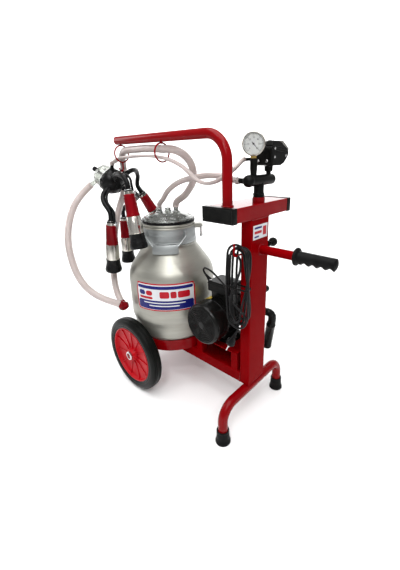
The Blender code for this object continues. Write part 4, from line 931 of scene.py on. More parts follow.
def bolt_heads(name, places, way, radius, height, paint):
    """Round cap screws with a hexagon pocket, in one piece."""
    bm = bmesh.new()
    for at in places:
        add_lathe(
            bm,
            [(0, 0), (radius, 0), (radius, 0.75 * height), (0.86 * radius, height), (0.52 * radius, height)],
            at, way, 28,
        )
        add_lathe(
            bm, [(0.52 * radius, height), (0.48 * radius, 0.45 * height), (0, 0.45 * height)], at, way, 6,
        )
    place(object_from(name, bm), paint)


def around_shaft(radius, y, count, start):
    angles = [start + 2 * pi * i / count for i in range(count)]
    return [Vector((SHAFT.x + radius * cos(a), y, SHAFT.z + radius * sin(a))) for a in angles]


def make_motor():
    repaint(GLOSS_BLACK, "motor_body")
    repaint(SATIN_BLACK, "motor_rotor")
    repaint(CAST_GREY, "pump_rotor")
    fins = bmesh.new()
    for i in range(44):
        angle = 2 * pi * (i + 0.5) / 44
        if sin(angle) > 0.80 or sin(angle) < -0.86:
            continue
        spin = Matrix.Translation((SHAFT.x, 0, SHAFT.z)) @ Matrix.Rotation(-angle, 4, "Y")
        add_box(fins, (0.0655, -0.0385, -0.0011), (0.0696, 0.0645, 0.0011), spin)
    edges = [e for e in fins.edges if abs(e.calc_length() - 0.103) < 0.002]
    bevel_edges(fins, edges, 0.0006, 2, 0)
    place(object_from("motor_fins", fins), GLOSS_BLACK)
    on_shaft(
        "motor_bell_rear", mm((50, 85.2), (56, 85), (69, 78.6), (70.2, 76), (70.2, 68), (69, 66.4)),
        GLOSS_BLACK,
    )
    bolt_heads("bell_screws", around_shaft(0.0630, 0.0812, 4, pi / 4), AXLE_WAY, 0.0040, 0.0030, GLOSS_BLACK)
    on_shaft("motor_bell_front", mm((68.8, -40), (70.6, -40.8), (70.8, -41.6), (70, -42.4)), GLOSS_BLACK)

    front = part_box("fan_cowl")[0][1]
    shell = [
        (0.0600, front + 0.0010), (0.0610, front), (0.0632, front + 0.0002), (0.0680, front + 0.0040),
        (0.0705, front + 0.0085), (0.0714, front + 0.0140), (0.0715, -0.0405), (0.0695, -0.0405),
        (0.0694, front + 0.0150), (0.0660, front + 0.0065), (0.0620, front + 0.0030),
        (0.0600, front + 0.0026),
    ]
    cowl = bmesh.new()
    add_lathe(cowl, shell, (SHAFT.x, 0, SHAFT.z), AXLE_WAY, 96, closed=True)
    middle = Vector((SHAFT.x, front + 0.0012, SHAFT.z))
    for i in range(8):
        add_ring(cowl, middle, AXLE_WAY, 0.0165 + 0.0058 * i, 0.0017, 88, 10)
    for i in range(8):
        way = circle_way(2 * pi * i / 8)
        back = 0.0012 * AXLE_WAY
        add_rod(cowl, middle + 0.010 * way + back, middle + 0.0612 * way + back, 0.0019, 0.0004, 12)
    hub = mm((0, 1.2), (8.5, 1.4), (12.5, 0.8), (13.2, -0.4), (12.8, -2), (0, -2))
    add_lathe(cowl, hub, middle, -AXLE_WAY, 56)
    place(object_from("cowl_pressed", cowl, 45), COWL_BLACK, "frame", ("fan_cowl",))
    on_shaft(
        "cowl_lip", mm((70, -40.2), (71.6, -40.5), (72.2, -42), (72.2, -45), (71.4, -46.2), (70, -46.5)),
        GLOSS_BLACK,
    )
    bm = bmesh.new()
    for angle in (pi / 4, 3 * pi / 4, 5 * pi / 4, 7 * pi / 4):
        way = circle_way(angle)
        at = Vector((SHAFT.x, -0.0460, SHAFT.z)) + 0.0716 * way
        add_lathe(bm, mm((0, 0), (3.4, 0), (3.4, 1.2), (2.4, 2.4), (0, 2.6)), at, way, 24)
    place(object_from("cowl_screws", bm), GLOSS_BLACK)

    feet = bmesh.new()
    for x in (-0.052, 0.052):
        for y in (-0.018, 0.043):
            at = Vector((SHAFT.x + x, y, 0.2662))
            add_lathe(feet, mm((0, 0), (6.8, 0), (6.8, 1.2), (4.5, 1.3)), at, UP, 28)
            add_lathe(feet, mm((5, 1), (5, 5.2), (4.2, 5.8), (0, 5.8)), at, UP, 6)
    place(object_from("motor_bolts", feet), CAST_GREY)


def make_terminal_box():
    low, high = box_of("terminal_box")
    repaint(SATIN_BLACK, "terminal_box", "switch_rocker")
    proud = Vector((0.0008, 0.0008, 0))
    start = Vector((low.x, low.y, high.z - 0.0105)) - proud
    end = Vector((high.x, high.y, high.z - 0.0085)) + proud
    place(boxes("box_seam", [(start, end)], 0.0006, 2), GLOSS_BLACK)
    across, along = (low.x + 0.008, high.x - 0.008), (low.y + 0.008, high.y - 0.008)
    corners = [Vector((x, y, high.z - 0.0004)) for x in across for y in along]
    bolt_heads("box_screws", corners, UP, 0.0034, 0.0022, PLATED)
    rocker = centre("switch_rocker")
    bezel = bmesh.new()
    outline = mm((-12.8, -9.6), (12.8, -9.6), (12.8, 9.6), (-12.8, 9.6))
    inner = [(x * 0.84, y * 0.80) for x, y in outline]
    rows = []
    for shape, lift in ((outline, 0.0), (outline, 0.0012), (inner, 0.0020), (inner, 0.0)):
        rows.append([bezel.verts.new((rocker.x + x, rocker.y + y, high.z - 0.0002 + lift)) for x, y in shape])
    for first, second in zip(rows, [*rows[1:], rows[0]]):
        add_faces_between(bezel, first, second)
    place(object_from("switch_bezel", bezel), SATIN_BLACK)
    gland = mm((9.5, -2), (11.8, -1), (11.8, 3), (10.5, 4.4), (9.6, 5.2), (10, 6.5))
    for i in range(6):
        height = 0.008 + i * 0.0038
        radius = 0.0092 - 0.00085 * i
        gland += [(radius, height), (radius + 0.0003, height + 0.0012), (radius - 0.0012, height + 0.0024)]
    gland += [(0.0050, 0.0322), (0.0046, GLAND_LENGTH), (0.0036, GLAND_LENGTH), (0.0036, 0.020), (0, 0.020)]
    place(lathe("gland_boot", gland, GLAND, GLAND_WAY, 48), SOFT_RUBBER, "frame", ("cord_gland",))
    nut = lathe("gland_nut", rod_profile(0.0058, 0.0132, 0.0006), GLAND - 0.0005 * GLAND_WAY, GLAND_WAY, 6)
    place(nut, SATIN_BLACK)
    bm = bmesh.new()
    rows = []
    for skin in (0.0697, 0.0722):
        row = []
        for i in range(STICKER_STEPS + 1):
            angle = radians(FIRST_STICKER_ANGLE + STICKER_SPAN * i / STICKER_STEPS)
            for y in (-0.0385, 0.0040):
                row.append(bm.verts.new((SHAFT.x + skin * cos(angle), y, SHAFT.z + skin * sin(angle))))
        rows.append(row)
    inner, outer = rows
    last = 2 * STICKER_STEPS
    for i in range(0, last, 2):
        for skin in (outer, inner):
            bm.faces.new((skin[i], skin[i + 2], skin[i + 3], skin[i + 1]))
        for k in (0, 1):
            bm.faces.new((inner[i + k], outer[i + k], outer[i + 2 + k], inner[i + 2 + k]))
    for i in (0, last):
        bm.faces.new((inner[i], outer[i], outer[i + 1], inner[i + 1]))
    place(object_from("motor_sticker", bm), LABEL_YELLOW)


def make_pump():
    repaint(GLOSS_BLACK, "pump_body")
    flange = mm((54.8, 96.2), (56.2, 95.8), (56.6, 94.5), (56.6, 88.5), (56, 87.2), (54.8, 86.8))
    on_shaft("pump_flange", flange, GLOSS_BLACK)
    cover = mm(
        (0, 157.8), (25.5, 157.5), (30, 156), (33.5, 151.2), (52, 150.8), (55.2, 149.5), (56, 147.5),
        (56, 141),
        (54.8, 140),
    )
    on_shaft("pump_cover", cover, CAST_GREY)
    bolt_heads("pump_bolts", around_shaft(0.0465, 0.1506, 6, 0.3), AXLE_WAY, 0.0042, 0.0040, PLATED)
    ribs = bmesh.new()
    for i in range(14):
        angle = 2 * pi * i / 14
        if abs(angle - 1.0) < 0.35 or abs(angle - 6.0) < 0.30 or -0.9 > sin(angle):
            continue
        spin = Matrix.Translation((SHAFT.x, 0, SHAFT.z)) @ Matrix.Rotation(-angle, 4, "Y")
        add_box(ribs, (0.0540, 0.0965, -0.0013), (0.0575, 0.1400, 0.0013), spin)
    place(object_from("pump_ribs", ribs), GLOSS_BLACK)
    pipe = [
        (0.1337, 0.1180, 0.3843), (0.1453, 0.1175, 0.3930), (0.1693, 0.1120, 0.4140),
        (0.1933, 0.0980, 0.4360),
        (0.2063, 0.0790, 0.4480), (0.2093, 0.0620, 0.4510), (0.2093, 0.0453, 0.4510),
    ]
    points = smooth(pipe, 0.0015)
    bm = bmesh.new()
    add_sweep(bm, points, 0.0098, 36)
    for i in range(8, len(points) - 8, 3):
        add_ring(bm, points[i], points[i + 1] - points[i - 1], 0.0096, 0.0011, 40, 8)
    place(object_from("suction_hose", bm, 50), SOFT_RUBBER, "frame", ("suction_pipe",))
    inlet, inlet_way = Vector((0.1275, 0.118, 0.3803)), Vector((0.020, 0, 0.015)).normalized()
    clamps = [(inlet, inlet_way, 0.0132, 0.0011), (inlet + 0.004 * inlet_way, inlet_way, 0.0132, 0.0008)]
    clamps.append((Vector((0.2093, 0.0515, 0.4510)), AXLE_WAY, 0.0116, 0.0012))
    place(rings("suction_clamps", clamps, 56, 10), PLATED)

    elbow = [Vector((0.1393, 0.130, 0.325)), Vector((0.1973, 0.150, 0.324)), Vector((0.1693, 0.160, 0.168))]
    bend = smooth(round_corners(elbow, 0.020, 8), 0.004)
    bm = bmesh.new()
    add_sweep(bm, bend, 0.0140, 36)
    low, up = elbow[2], (elbow[1] - elbow[2]).normalized()
    barrel = mm(
        (13, 109), (16, 108), (17.5, 106), (17.5, 102), (16.8, 101), (16.8, 8), (17.5, 7), (17.5, 1),
        (16.8, 0), (12, 0), (12, 30), (0, 30),
    )
    add_lathe(bm, barrel, low, up, 56)
    for i in range(4, len(bend) - 12, 2):
        add_ring(bm, bend[i], bend[i + 1] - bend[i - 1], 0.0140, 0.0011, 48, 8)
    place(object_from("silencer_moulded", bm, 50), GLOSS_BLACK, "frame", ("exhaust_silencer",))
    start_way = (elbow[1] - elbow[0]).normalized()
    bands = [
        (elbow[0] + 0.004 * start_way, start_way, 0.0146, 0.0012),
        (elbow[0] + 0.0062 * start_way, start_way, 0.0146, 0.0010),
        (low + 0.1140 * up, up, 0.0146, 0.0012),
    ]
    place(rings("exhaust_bands", bands, 56, 10), GLOSS_BLACK)


make_motor()
make_terminal_box()
make_pump()


# Manifold, gauge, pulsator and regulator


def make_manifold():
    x, z = RISER_X, 0.800
    bm = bmesh.new()
    left, right, radius = -0.036, 0.102, 0.0155
    profile = [(0, right)]
    for i in range(1, 9):
        angle = pi / 2 * i / 8
        profile.append((radius * sin(angle), right - 0.011 + 0.011 * cos(angle)))
    for i in range(9):
        angle = pi / 2 * i / 8
        profile.append((max(radius * cos(angle), 0.0), left + 0.011 - 0.011 * sin(angle)))
    profile[-1] = (0, left)
    add_lathe(bm, profile, (x, 0, z), AXLE_WAY, 64)
    riser = mm((15.5, 0), (16, 1.2), (16, 6), (15, 7.5), (14.6, 20), (15, 33), (15, 48), (0, 48))
    add_lathe(bm, [(0, 0.0), *riser], (x, 0.028, 0.7534), UP, 56)
    add_lathe(
        bm,
        mm((0, 0), (10.5, 0), (8.8, 16), (9.4, 24), (10.2, 32), (10.4, 56), (9.8, 59), (0, 59)),
        (x, 0, z), UP, 48,
    )
    add_rod(bm, (x, 0, 0.857), (0.1793, 0, 0.857), 0.0045, 0.0005, 28)
    ball = mm((0, -16.5), (6, -16), (11.5, -13), (15.5, -7.5), (17, 0), (15.5, 7.5), (14.8, 12), (0, 12))
    add_lathe(bm, ball, (x, -0.0215, z), AXLE_WAY, 56)
    add_lathe(
        bm, mm((0, 0), (7.8, 0), (7.5, 16), (8, 18), (7.4, 22), (7.8, 24), (6.8, 30.8), (0, 30.8)),
        (x, -0.022, z), ALONG_ARM, 40,
    )
    add_lathe(
        bm, mm((0, 0), (9.5, 0), (7.2, 16), (7, 21), (12, 23.5), (12.8, 37.5), (0, 37.8)),
        (x, 0.076, z), UP, 44,
    )
    place(object_from("manifold_moulded", bm, 45), SATIN_BLACK, "frame", ("vacuum_manifold",))
    clamps = [
        (Vector((x, 0.028, 0.7600)), UP, 0.0163, 0.0012),
        (Vector((x, 0.028, 0.7628)), UP, 0.0163, 0.0010),
        (Vector((x, 0.076, 0.8340)), UP, 0.0102, 0.0010),
    ]
    place(rings("riser_clamps", clamps, 64, 10), SATIN_BLACK)
    socket = lathe(
        "riser_socket",
        mm((17.2, 0), (17.8, 0), (18, 2), (18, 12.5), (17.4, 13.7), (15.5, 13.7)),
        (x, 0.028, TANK_TOP), UP, 56,
    )
    place(socket, WELD)
    at = Vector(VACUUM_ROUTE[0])
    hose_bands = [(at + reach * ALONG_ARM, ALONG_ARM, 0.0095, 0.0009) for reach in (0.007, 0.010)]
    place(rings("vacuum_bands", hose_bands, 48, 10), PLATED)


def dial_angle(part):
    """The angle on the dial of a part of its scale."""
    return radians(DIAL_START + DIAL_SWEEP * part)


def make_gauge():
    middle = DIAL - 0.0075 * DIAL_WAY
    middle.x, middle.y = RISER_X, 0.0
    case = mm(
        (0, -13), (28.5, -13), (30.5, -11.8), (31.2, -10), (30.8, 2), (31.4, 3.5), (31.5, 8.5),
        (31.2, 10.4), (30, 11.4), (28.8, 11.2), (28.4, 9.8), (28.4, 5), (0, 5),
    )
    bm = bmesh.new()
    add_lathe(bm, case, middle, DIAL_WAY, 96)
    place(object_from("gauge_shell", bm), STEEL, "frame", ("gauge_case",))
    face = lathe("gauge_face", mm((0, 5.6), (27.8, 5.6), (28.3, 5.2), (28.3, 4.6)), middle, DIAL_WAY, 72)
    place(face, WHITE)
    glass = lathe(
        "gauge_glass",
        mm((0, 10.8), (15, 10.6), (28.3, 9.8), (28.3, 9), (15, 9.5), (0, 9.6)),
        middle, DIAL_WAY, 72,
    )
    place(glass, GLASS)
    across = UP.cross(DIAL_WAY)
    frame_of = Matrix.Translation(middle) @ Matrix((across, UP, DIAL_WAY)).transposed().to_4x4()
    ticks = bmesh.new()
    for i in range(31):
        angle = dial_angle(i / 30)
        spin = frame_of @ Matrix.Rotation(angle, 4, "Z")
        long = i % 5 == 0
        start, half = (0.0195, 0.00045) if long else (0.0222, 0.00025)
        add_box(ticks, (start, -half, 0.0056), (0.0255, half, 0.0059), spin)
    for i in range(60):
        a, b = dial_angle(i / 60), dial_angle((i + 1) / 60)
        corners = [(r * cos(t), r * sin(t)) for r, t in ((0.0255, a), (0.0262, a), (0.0262, b), (0.0255, b))]
        under, over = ([frame_of @ Vector((x, y, lift)) for x, y in corners] for lift in (0.0056, 0.0059))
        add_prism(ticks, under, over)
    place(object_from("gauge_ticks", ticks), INK)
    for i, number in enumerate(("60", "50", "40", "30", "20", "10", "0")):
        angle = dial_angle(i / 6)
        letters = bpy.data.curves.new(f"gauge_number_{number}", "FONT")
        letters.body = number
        letters.size = 0.0062
        letters.align_x, letters.align_y = "CENTER", "CENTER"
        letters.extrude = 0.00012
        made = bpy.data.objects.new(f"gauge_number_{number}", letters)
        made.matrix_world = frame_of @ Matrix.Translation((0.0155 * cos(angle), 0.0155 * sin(angle), 0.0058))
        place(made, INK)
    needle = bmesh.new()
    spin = frame_of @ Matrix.Translation((0, 0, 0.0075)) @ Matrix.Rotation(dial_angle(0), 4, "Z")
    shape = mm((22.5, 0.1), (2, 1.1), (-5, 1), (-6.4, 1.8), (-6.4, -1.8), (-5, -1), (2, -1.1), (22.5, -0.1))
    front, back = ([spin @ Vector((x, y, lift)) for x, y in shape] for lift in (0.0003, -0.0003))
    add_prism(needle, front, back)
    cap = mm((0, 1.1), (2.2, 1), (2.7, 0.4), (2.7, -0.6), (0, -0.6))
    add_lathe(needle, cap, middle + 0.0075 * DIAL_WAY, DIAL_WAY, 32)
    place(object_from("needle_pressed", needle), INK, "needle", ("gauge_needle",))
    neck = bmesh.new()
    hexagon = mm((0, 0), (8.5, 0), (9.2, 0.8), (9.2, 6.2), (8.5, 7), (0, 7))
    add_lathe(neck, hexagon, (RISER_X, -0.0010, 0.8585), UP, 6)
    add_lathe(neck, mm((0, 0), (6, 0), (6, 4), (0, 4)), (RISER_X, -0.0010, 0.8650), UP, 32)
    place(object_from("gauge_neck", neck), BRASS)


def make_pulsator():
    repaint(SATIN_BLACK, "pulsator_body")
    repaint(SATIN_BLACK, "pulsator_cover")
    low, high = box_of("pulsator_cover")
    middle = (low.x + high.x) / 2
    screws = bmesh.new()
    for x in (low.x + 0.009, high.x - 0.009):
        for y, z, tilt in ((0.064, 0.9050, 0.0), (0.124, 0.8938, 0.52)):
            way = Vector((0, sin(tilt), cos(tilt)))
            at = Vector((x, y, z)) - 0.0006 * way
            add_lathe(screws, mm((0, 0), (4, 0), (4, 1.2), (2.8, 2.4), (0, 2.6)), at, way, 28)
    place(object_from("pulsator_screws", screws), PLATED)
    knob = bmesh.new()
    add_lathe(
        knob, mm((0, 0), (8.5, 0), (8.5, 2.4), (7.4, 3.4), (5.2, 3.6), (5, 1.8), (0, 1.8)),
        (middle, 0.082, 0.9042), UP, 48,
    )
    place(object_from("pulsator_plug", knob), SATIN_BLACK)
    side = bmesh.new()
    places = []
    for x, way in ((high.x + 0.0010, FORWARD), (low.x - 0.0010, ALONG_ARM)):
        places += [((x, y, z), way) for y, z in ((0.062, 0.885), (0.062, 0.862), (0.124, 0.866))]
    places += [((x, 0.0432, 0.851), -AXLE_WAY) for x in (0.2165, 0.1880)]
    for at, way in places:
        add_lathe(side, mm((0, -1), (3.6, -1), (3.6, 0.8), (2.4, 1.8), (0, 1.9)), at, way, 28)
    place(object_from("pulsator_side_screws", side), PLATED)
    slope = mm((103.5, 906.2), (106, 906.6), (139, 887.5), (141.5, 884), (141.5, 879), (103.5, 896))
    lid = bmesh.new()
    add_prism(lid, *([(x, y, z) for y, z in slope] for x in (low.x + 0.0035, high.x + 0.0004)))
    bevel_edges(lid, lid.edges[:], 0.0012, 3, 0)
    place(object_from("pulsator_filter", lid), CAST_GREY)
    seam = bmesh.new()
    for lift in (0.0, 0.0062):
        shape = [(0.0490, 0.8864), (0.1000, 0.8826), (0.1385, 0.8771)]
        for x in (low.x - 0.0012, high.x + 0.0012):
            points = [Vector((x, y, z - lift)) for y, z in shape]
            add_sweep(seam, points, 0.0009, 8)
    place(object_from("pulsator_ribs", seam), SATIN_BLACK)


def make_regulator():
    low, high = box_of("regulator_body")
    x, z = (low.x + high.x) / 2, (low.z + high.z) / 2
    body = mm(
        (0, 45.2), (11, 45.2), (11.4, 47), (10.6, 49), (5.8, 50), (5.6, 55), (8, 55.8), (8.4, 57.5),
        (7.8, 59), (8.4, 60.5), (7.8, 62), (8.4, 63.6), (7.8, 65), (4.2, 66), (4, 74), (0, 74),
    )
    place(lathe("regulator_turned", body, (x, 0, z), AXLE_WAY, 48), SATIN_BLACK, "frame", ("regulator_body",))
    bm = bmesh.new()
    knob = mm(
        (4.3, 74.5), (4.3, 67.2), (8, 67.4), (11.8, 73), (13.3, 80), (13.5, 82.5), (12, 88.6), (9.8, 91.2),
        (7, 92.7), (4, 92.8), (3.4, 91.8), (0, 91.6),
    )
    add_lathe(bm, knob, (x, 0, z), AXLE_WAY, 60)
    for i in range(15):
        way = circle_way(2 * pi * i / 15)
        side = mm((10.4, 71.2), (12.8, 77.2), (13.1, 82.8), (11.6, 88.2))
        points = [Vector((x, y, z)) + radius * way for radius, y in side]
        add_sweep(bm, smooth(points, 0.002), 0.0011, 8)
    place(object_from("knob_ribbed", bm, 50), SATIN_BLACK, "knob", ("regulator_knob",))


make_manifold()
make_gauge()
make_pulsator()
make_regulator()


# Milk can and lid


def arc(middle, radius, start, end, steps):
    """(radius, height) points round a bead of a profile, from one angle to another, in degrees."""
    angles = [radians(start + (end - start) * i / steps) for i in range(steps + 1)]
    return [(middle[0] + radius * cos(a), middle[1] + radius * sin(a)) for a in angles]


def around_can(degrees):
    return Matrix.Translation(CAN) @ Matrix.Rotation(radians(degrees), 4, "Z")


def add_patch(bm, span, profile):
    """Adds a piece bent round the can: (radius, height) points swept between two azimuths in degrees."""
    rings_of, columns = [], 36
    for i in range(columns + 1):
        angle = radians(span[0] + (span[1] - span[0]) * i / columns)
        rings_of.append([bm.verts.new(CAN + Vector((r * cos(angle), r * sin(angle), z))) for r, z in profile])
    for first, second in zip(rings_of, rings_of[1:]):
        add_faces_between(bm, first, second)
    bm.faces.new(rings_of[0])
    bm.faces.new(rings_of[-1][::-1])


def make_can():
    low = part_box("milk_can")[0][2]
    outside = [
        (0, low), (0.1340, low), (0.1385, low + 0.0022), (0.1428, 0.1940), (0.1440, 0.1985), (0.1445, 0.2225),
        (0.1543, 0.2364), (0.1548, 0.2400), (0.1548, 0.2700), (0.1556, 0.2790), (0.1590, 0.2900),
        (0.1616, 0.2990),
        (0.1620, 0.3060), (0.1620, 0.3600), (0.1620, 0.4380), (0.1615, 0.4470), (0.1600, 0.4560),
        (0.1578, 0.4655),
        (0.1551, 0.4740), (0.1516, 0.4820), (0.1474, 0.4888), (0.1360, 0.5050), (0.1200, 0.5284),
        (0.1040, 0.5517),
        (0.0994, 0.5588), (0.0974, 0.5622), (0.0972, 0.5650), (0.0984, 0.5662), (0.0988, 0.5685),
        (0.0984, 0.5708),
        (0.0968, 0.5718), (0.0966, 0.6270), (0.0980, 0.6285), (0.0982, 0.6310), (0.0970, 0.6325),
        (0.0938, 0.6332),
        *arc((0.0930, 0.6395), 0.0040, -70, 80, 8), (0.0925, 0.6450), (0.0905, 0.6450), (0.0900, 0.6430),
    ]
    inside = [
        (0.0905, 0.5650), (0.0955, 0.5560), (0.1450, 0.4870), (0.1528, 0.4725), (0.1576, 0.4545),
        (0.1595, 0.4400),
        (0.1595, 0.3000), (0.1522, 0.2780), (0.1520, 0.2370), (0.1418, 0.2235), (0.1415, 0.1960),
        (0.1360, low + 0.004), (0, low + 0.004),
    ]
    bm = bmesh.new()
    add_lathe(bm, outside + inside, CAN, UP, 128)
    for turn in (BAIL_TURNS["right"], BAIL_TURNS["left"]):
        spot = around_can(turn)
        lug = bmesh.new()
        add_box(lug, (0.0915, -0.0172, 0.618), (0.1262, 0.0172, 0.634))
        bevel_edges(lug, lug.edges[:], 0.0042, 4, 0)
        lug.transform(spot)
        mesh = bpy.data.meshes.new("lug")
        lug.to_mesh(mesh)
        lug.free()
        bm.from_mesh(mesh)
        bpy.data.meshes.remove(mesh)
        rivet = mm((4, 0), (3.6, 1.6), (1.8, 2.6), (0, 2.8))
        for side in (-0.013, 0.013):
            for height in (0.612, 0.640):
                add_lathe(bm, rivet, spot @ Vector((0.0929, side, height)), spot.to_3x3() @ FORWARD, 20)
    place(object_from("can_spun", bm, 28), CAN_METAL, "frame", ("milk_can",))
    collar = mm(
        (96.9, 572.5), (99.4, 572.8), (100, 574.5), (100, 580), (98.6, 581.5), (98.2, 600), (98.2, 625.5),
        (97.8, 627.5), (96.9, 628),
    )
    place(lathe("neck_collar", collar, CAN, UP, 128, closed=True), COLLAR_METAL)
    front = bmesh.new()
    band = mm((96.4, 604), (99.2, 605), (100, 608), (100, 619), (99.2, 621.5), (96.4, 622.5))
    clasp = mm((99, 602), (105.2, 604), (106, 620), (99, 624))
    plate = mm((112.5, 578), (114, 579.5), (115.2, 578), (117.2, 548), (116, 546.5), (114.6, 548))
    for span, profile in (((-96, -2), band), ((-94, -88), clasp), ((-10, -4), clasp), ((-72, -26), plate)):
        add_patch(front, span, profile)
    side = (
        (0, 0.1045, 0.6130), (0, 0.1065, 0.6060), (0.25, 0.1085, 0.5960), (0.7, 0.1120, 0.5820),
        (1, 0.1140, 0.5720),
    )
    for first, last in ((-91, -71), (-7, -27)):
        leg = []
        for along, radius, height in side:
            angle = radians(first + (last - first) * along)
            leg.append(CAN + Vector((radius * cos(angle), radius * sin(angle), height)))
        add_sweep(front, smooth(leg, 0.003), 0.0034, 14)
    place(object_from("neck_bracket", front, 40), COLLAR_METAL)
    for name in ("can_handle_left", "can_handle_right"):
        repaint(PLATED, name)
    sleeve = mm((0, 0), (4, 0), (4.8, 1), (5.2, 5), (5.6, 16), (5.2, 27), (4.8, 31), (4, 32), (0, 32))
    for name, turn in BAIL_TURNS.items():
        spot = around_can(turn)
        at = spot @ Vector((0.119, -0.016, 0.590))
        grip = lathe(f"bail_grip_{name}", sleeve, at, spot.to_3x3() @ AXLE_WAY, 36)
        place(grip, SOFT_RUBBER, f"handle_{name}")


def can_radius(height):
    return CAN_RADIUS - 0.1 * max(0.0, height - 0.438)


def can_patch(name, paint, start, end, low, high, lift, rounded):
    """A thin label with rounded corners on the can, between two azimuths in degrees and two heights."""
    columns, rows = 48, 8
    bm = bmesh.new()
    skins = []
    for skin in (lift - 0.0004, lift):
        grid = []
        for i in range(columns + 1):
            across = i / columns
            angle = radians(start + (end - start) * across)
            reach = min(across, 1 - across) * radians(abs(end - start)) * CAN_RADIUS
            cut = rounded - sqrt(max(0.0, rounded**2 - (rounded - reach) ** 2)) if reach < rounded else 0.0
            column = []
            for k in range(rows + 1):
                height = low + cut + (high - low - 2 * cut) * k / rows
                radius = can_radius(height) + skin
                column.append(bm.verts.new(CAN + Vector((radius * cos(angle), radius * sin(angle), height))))
            grid.append(column)
        skins.append(grid)
    for grid in skins:
        for left, right in zip(grid, grid[1:]):
            for k in range(rows):
                bm.faces.new((left[k], right[k], right[k + 1], left[k + 1]))
    inner, outer = skins
    for i in range(columns):
        for k in (0, rows):
            bm.faces.new((inner[i][k], outer[i][k], outer[i + 1][k], inner[i + 1][k]))
    for i in (0, columns):
        for k in range(rows):
            bm.faces.new((inner[i][k], inner[i][k + 1], outer[i][k + 1], outer[i][k]))
    place(object_from(f"can_label_{name}", bm, 40), paint)


def make_can_label():
    """A generic label: a red border, navy bands and plain bars in place of any wording."""
    start, end, low, high = -91, -11.5, 0.352, 0.455
    patches = [
        ("border", LABEL_RED, start, end, low, high, 0.0003, 0.010),
        ("field", LABEL_WHITE, start + 2.0, end - 2.0, low + 0.0046, high - 0.0046, 0.0005, 0.008),
        ("band_top", LABEL_NAVY, start + 2.8, end - 2.8, high - 0.0200, high - 0.0085, 0.0007, 0.003),
        ("band_low", LABEL_NAVY, start + 2.5, end - 2.5, low + 0.0060, low + 0.0400, 0.0007, 0.006),
        ("mark_1", LABEL_NAVY, -86, -77, 0.410, 0.428, 0.0007, 0.008),
        ("mark_2", LABEL_RED, -75.5, -66.5, 0.410, 0.428, 0.0007, 0.008),
        ("mark_bar", LABEL_RED, -86, -66.5, 0.3965, 0.4055, 0.0007, 0.004),
        ("bar_1", LABEL_RED, -57, -45, 0.402, 0.427, 0.0007, 0.006),
        ("bar_2", LABEL_RED, -43.5, -36, 0.402, 0.427, 0.0007, 0.006),
        ("bar_3", LABEL_RED, -34.5, -19, 0.402, 0.427, 0.0007, 0.006),
        ("line_1", LABEL_WHITE, -80, -25, 0.3810, 0.3850, 0.0009, 0.0015),
        ("line_2", LABEL_WHITE, -72, -33, 0.3700, 0.3740, 0.0009, 0.0015),
    ]
    for patch in patches:
        can_patch(*patch)


def make_lid():
    repaint(RUBBER, "lid_gasket")
    across = circle_way(radians(BAIL_TURNS["right"]), FORWARD, AXLE_WAY)
    nipples = [CAN - 0.030 * across, CAN + 0.030 * across]
    bm = bmesh.new()
    outside = mm(
        (0, 680.2), (12, 680.2), (30, 678.6), (44, 676.2), (55, 673.4), (66, 669.2), (73.5, 665),
        (76.8, 662), (79, 660.8), (83, 661), (85, 662.6), (87.2, 662.6), (89, 660.8), (94, 660),
        (95.8, 659), (96.8, 656.8), (96.6, 653.8),
    )
    inside = mm((76.2, 653.8), (73, 658), (70, 662.2), (53, 669.5), (29, 674.8), (0, 676.4))
    add_lathe(bm, outside + inside, CAN, UP, 112)
    for at in nipples:
        stub = mm((15, 0), (14.5, 2), (10.5, 3), (8.7, 5), (8.5, 15), (7.8, 16.6), (5.6, 16.6), (5.4, 0))
        add_lathe(bm, stub, at + 0.6772 * UP, UP, 48)
    for i in range(6):
        spin = around_can(15 + 60 * i)
        rib = mm((48, 673.5), (76, 662.5), (76, 665.5), (48, 677.8))
        add_prism(bm, *([spin @ Vector((radius, y, z)) for radius, z in rib] for y in (0.0012, -0.0012)))
    knob = mm((12, 679), (12.5, 682), (10.5, 684), (10, 688), (11.8, 689.5), (11, 692.5), (6, 693.5))
    add_lathe(bm, [(0, 0.6780), *knob, (0, 0.6938)], CAN, UP, 56)
    place(object_from("lid_clear", bm, 34), LID_CLEAR, "lid", ("can_lid",))
    clips = bmesh.new()
    for at in nipples:
        for height in (0.6885, 0.6905):
            add_ring(clips, at + height * UP, UP, 0.0094, 0.0008, 48, 8)
        loop = []
        for i in range(21):
            angle = pi * (0.12 + 1.76 * i / 20)
            loop.append(
                at + Vector((0.0145 * sin(angle), 0.0145 * cos(angle), 0.6800 + 0.0022 * cos(2 * angle))),
            )
        add_sweep(clips, loop, 0.0008, 8)
    place(object_from("lid_clips", clips, 60), PLATED, "lid")
    seal = rings("lid_seal", [(CAN + 0.6534 * UP, UP, 0.0862, 0.0012)], 96, 12)
    place(seal, RUBBER, "lid")


make_can()
make_can_label()
make_lid()


# Milking cluster


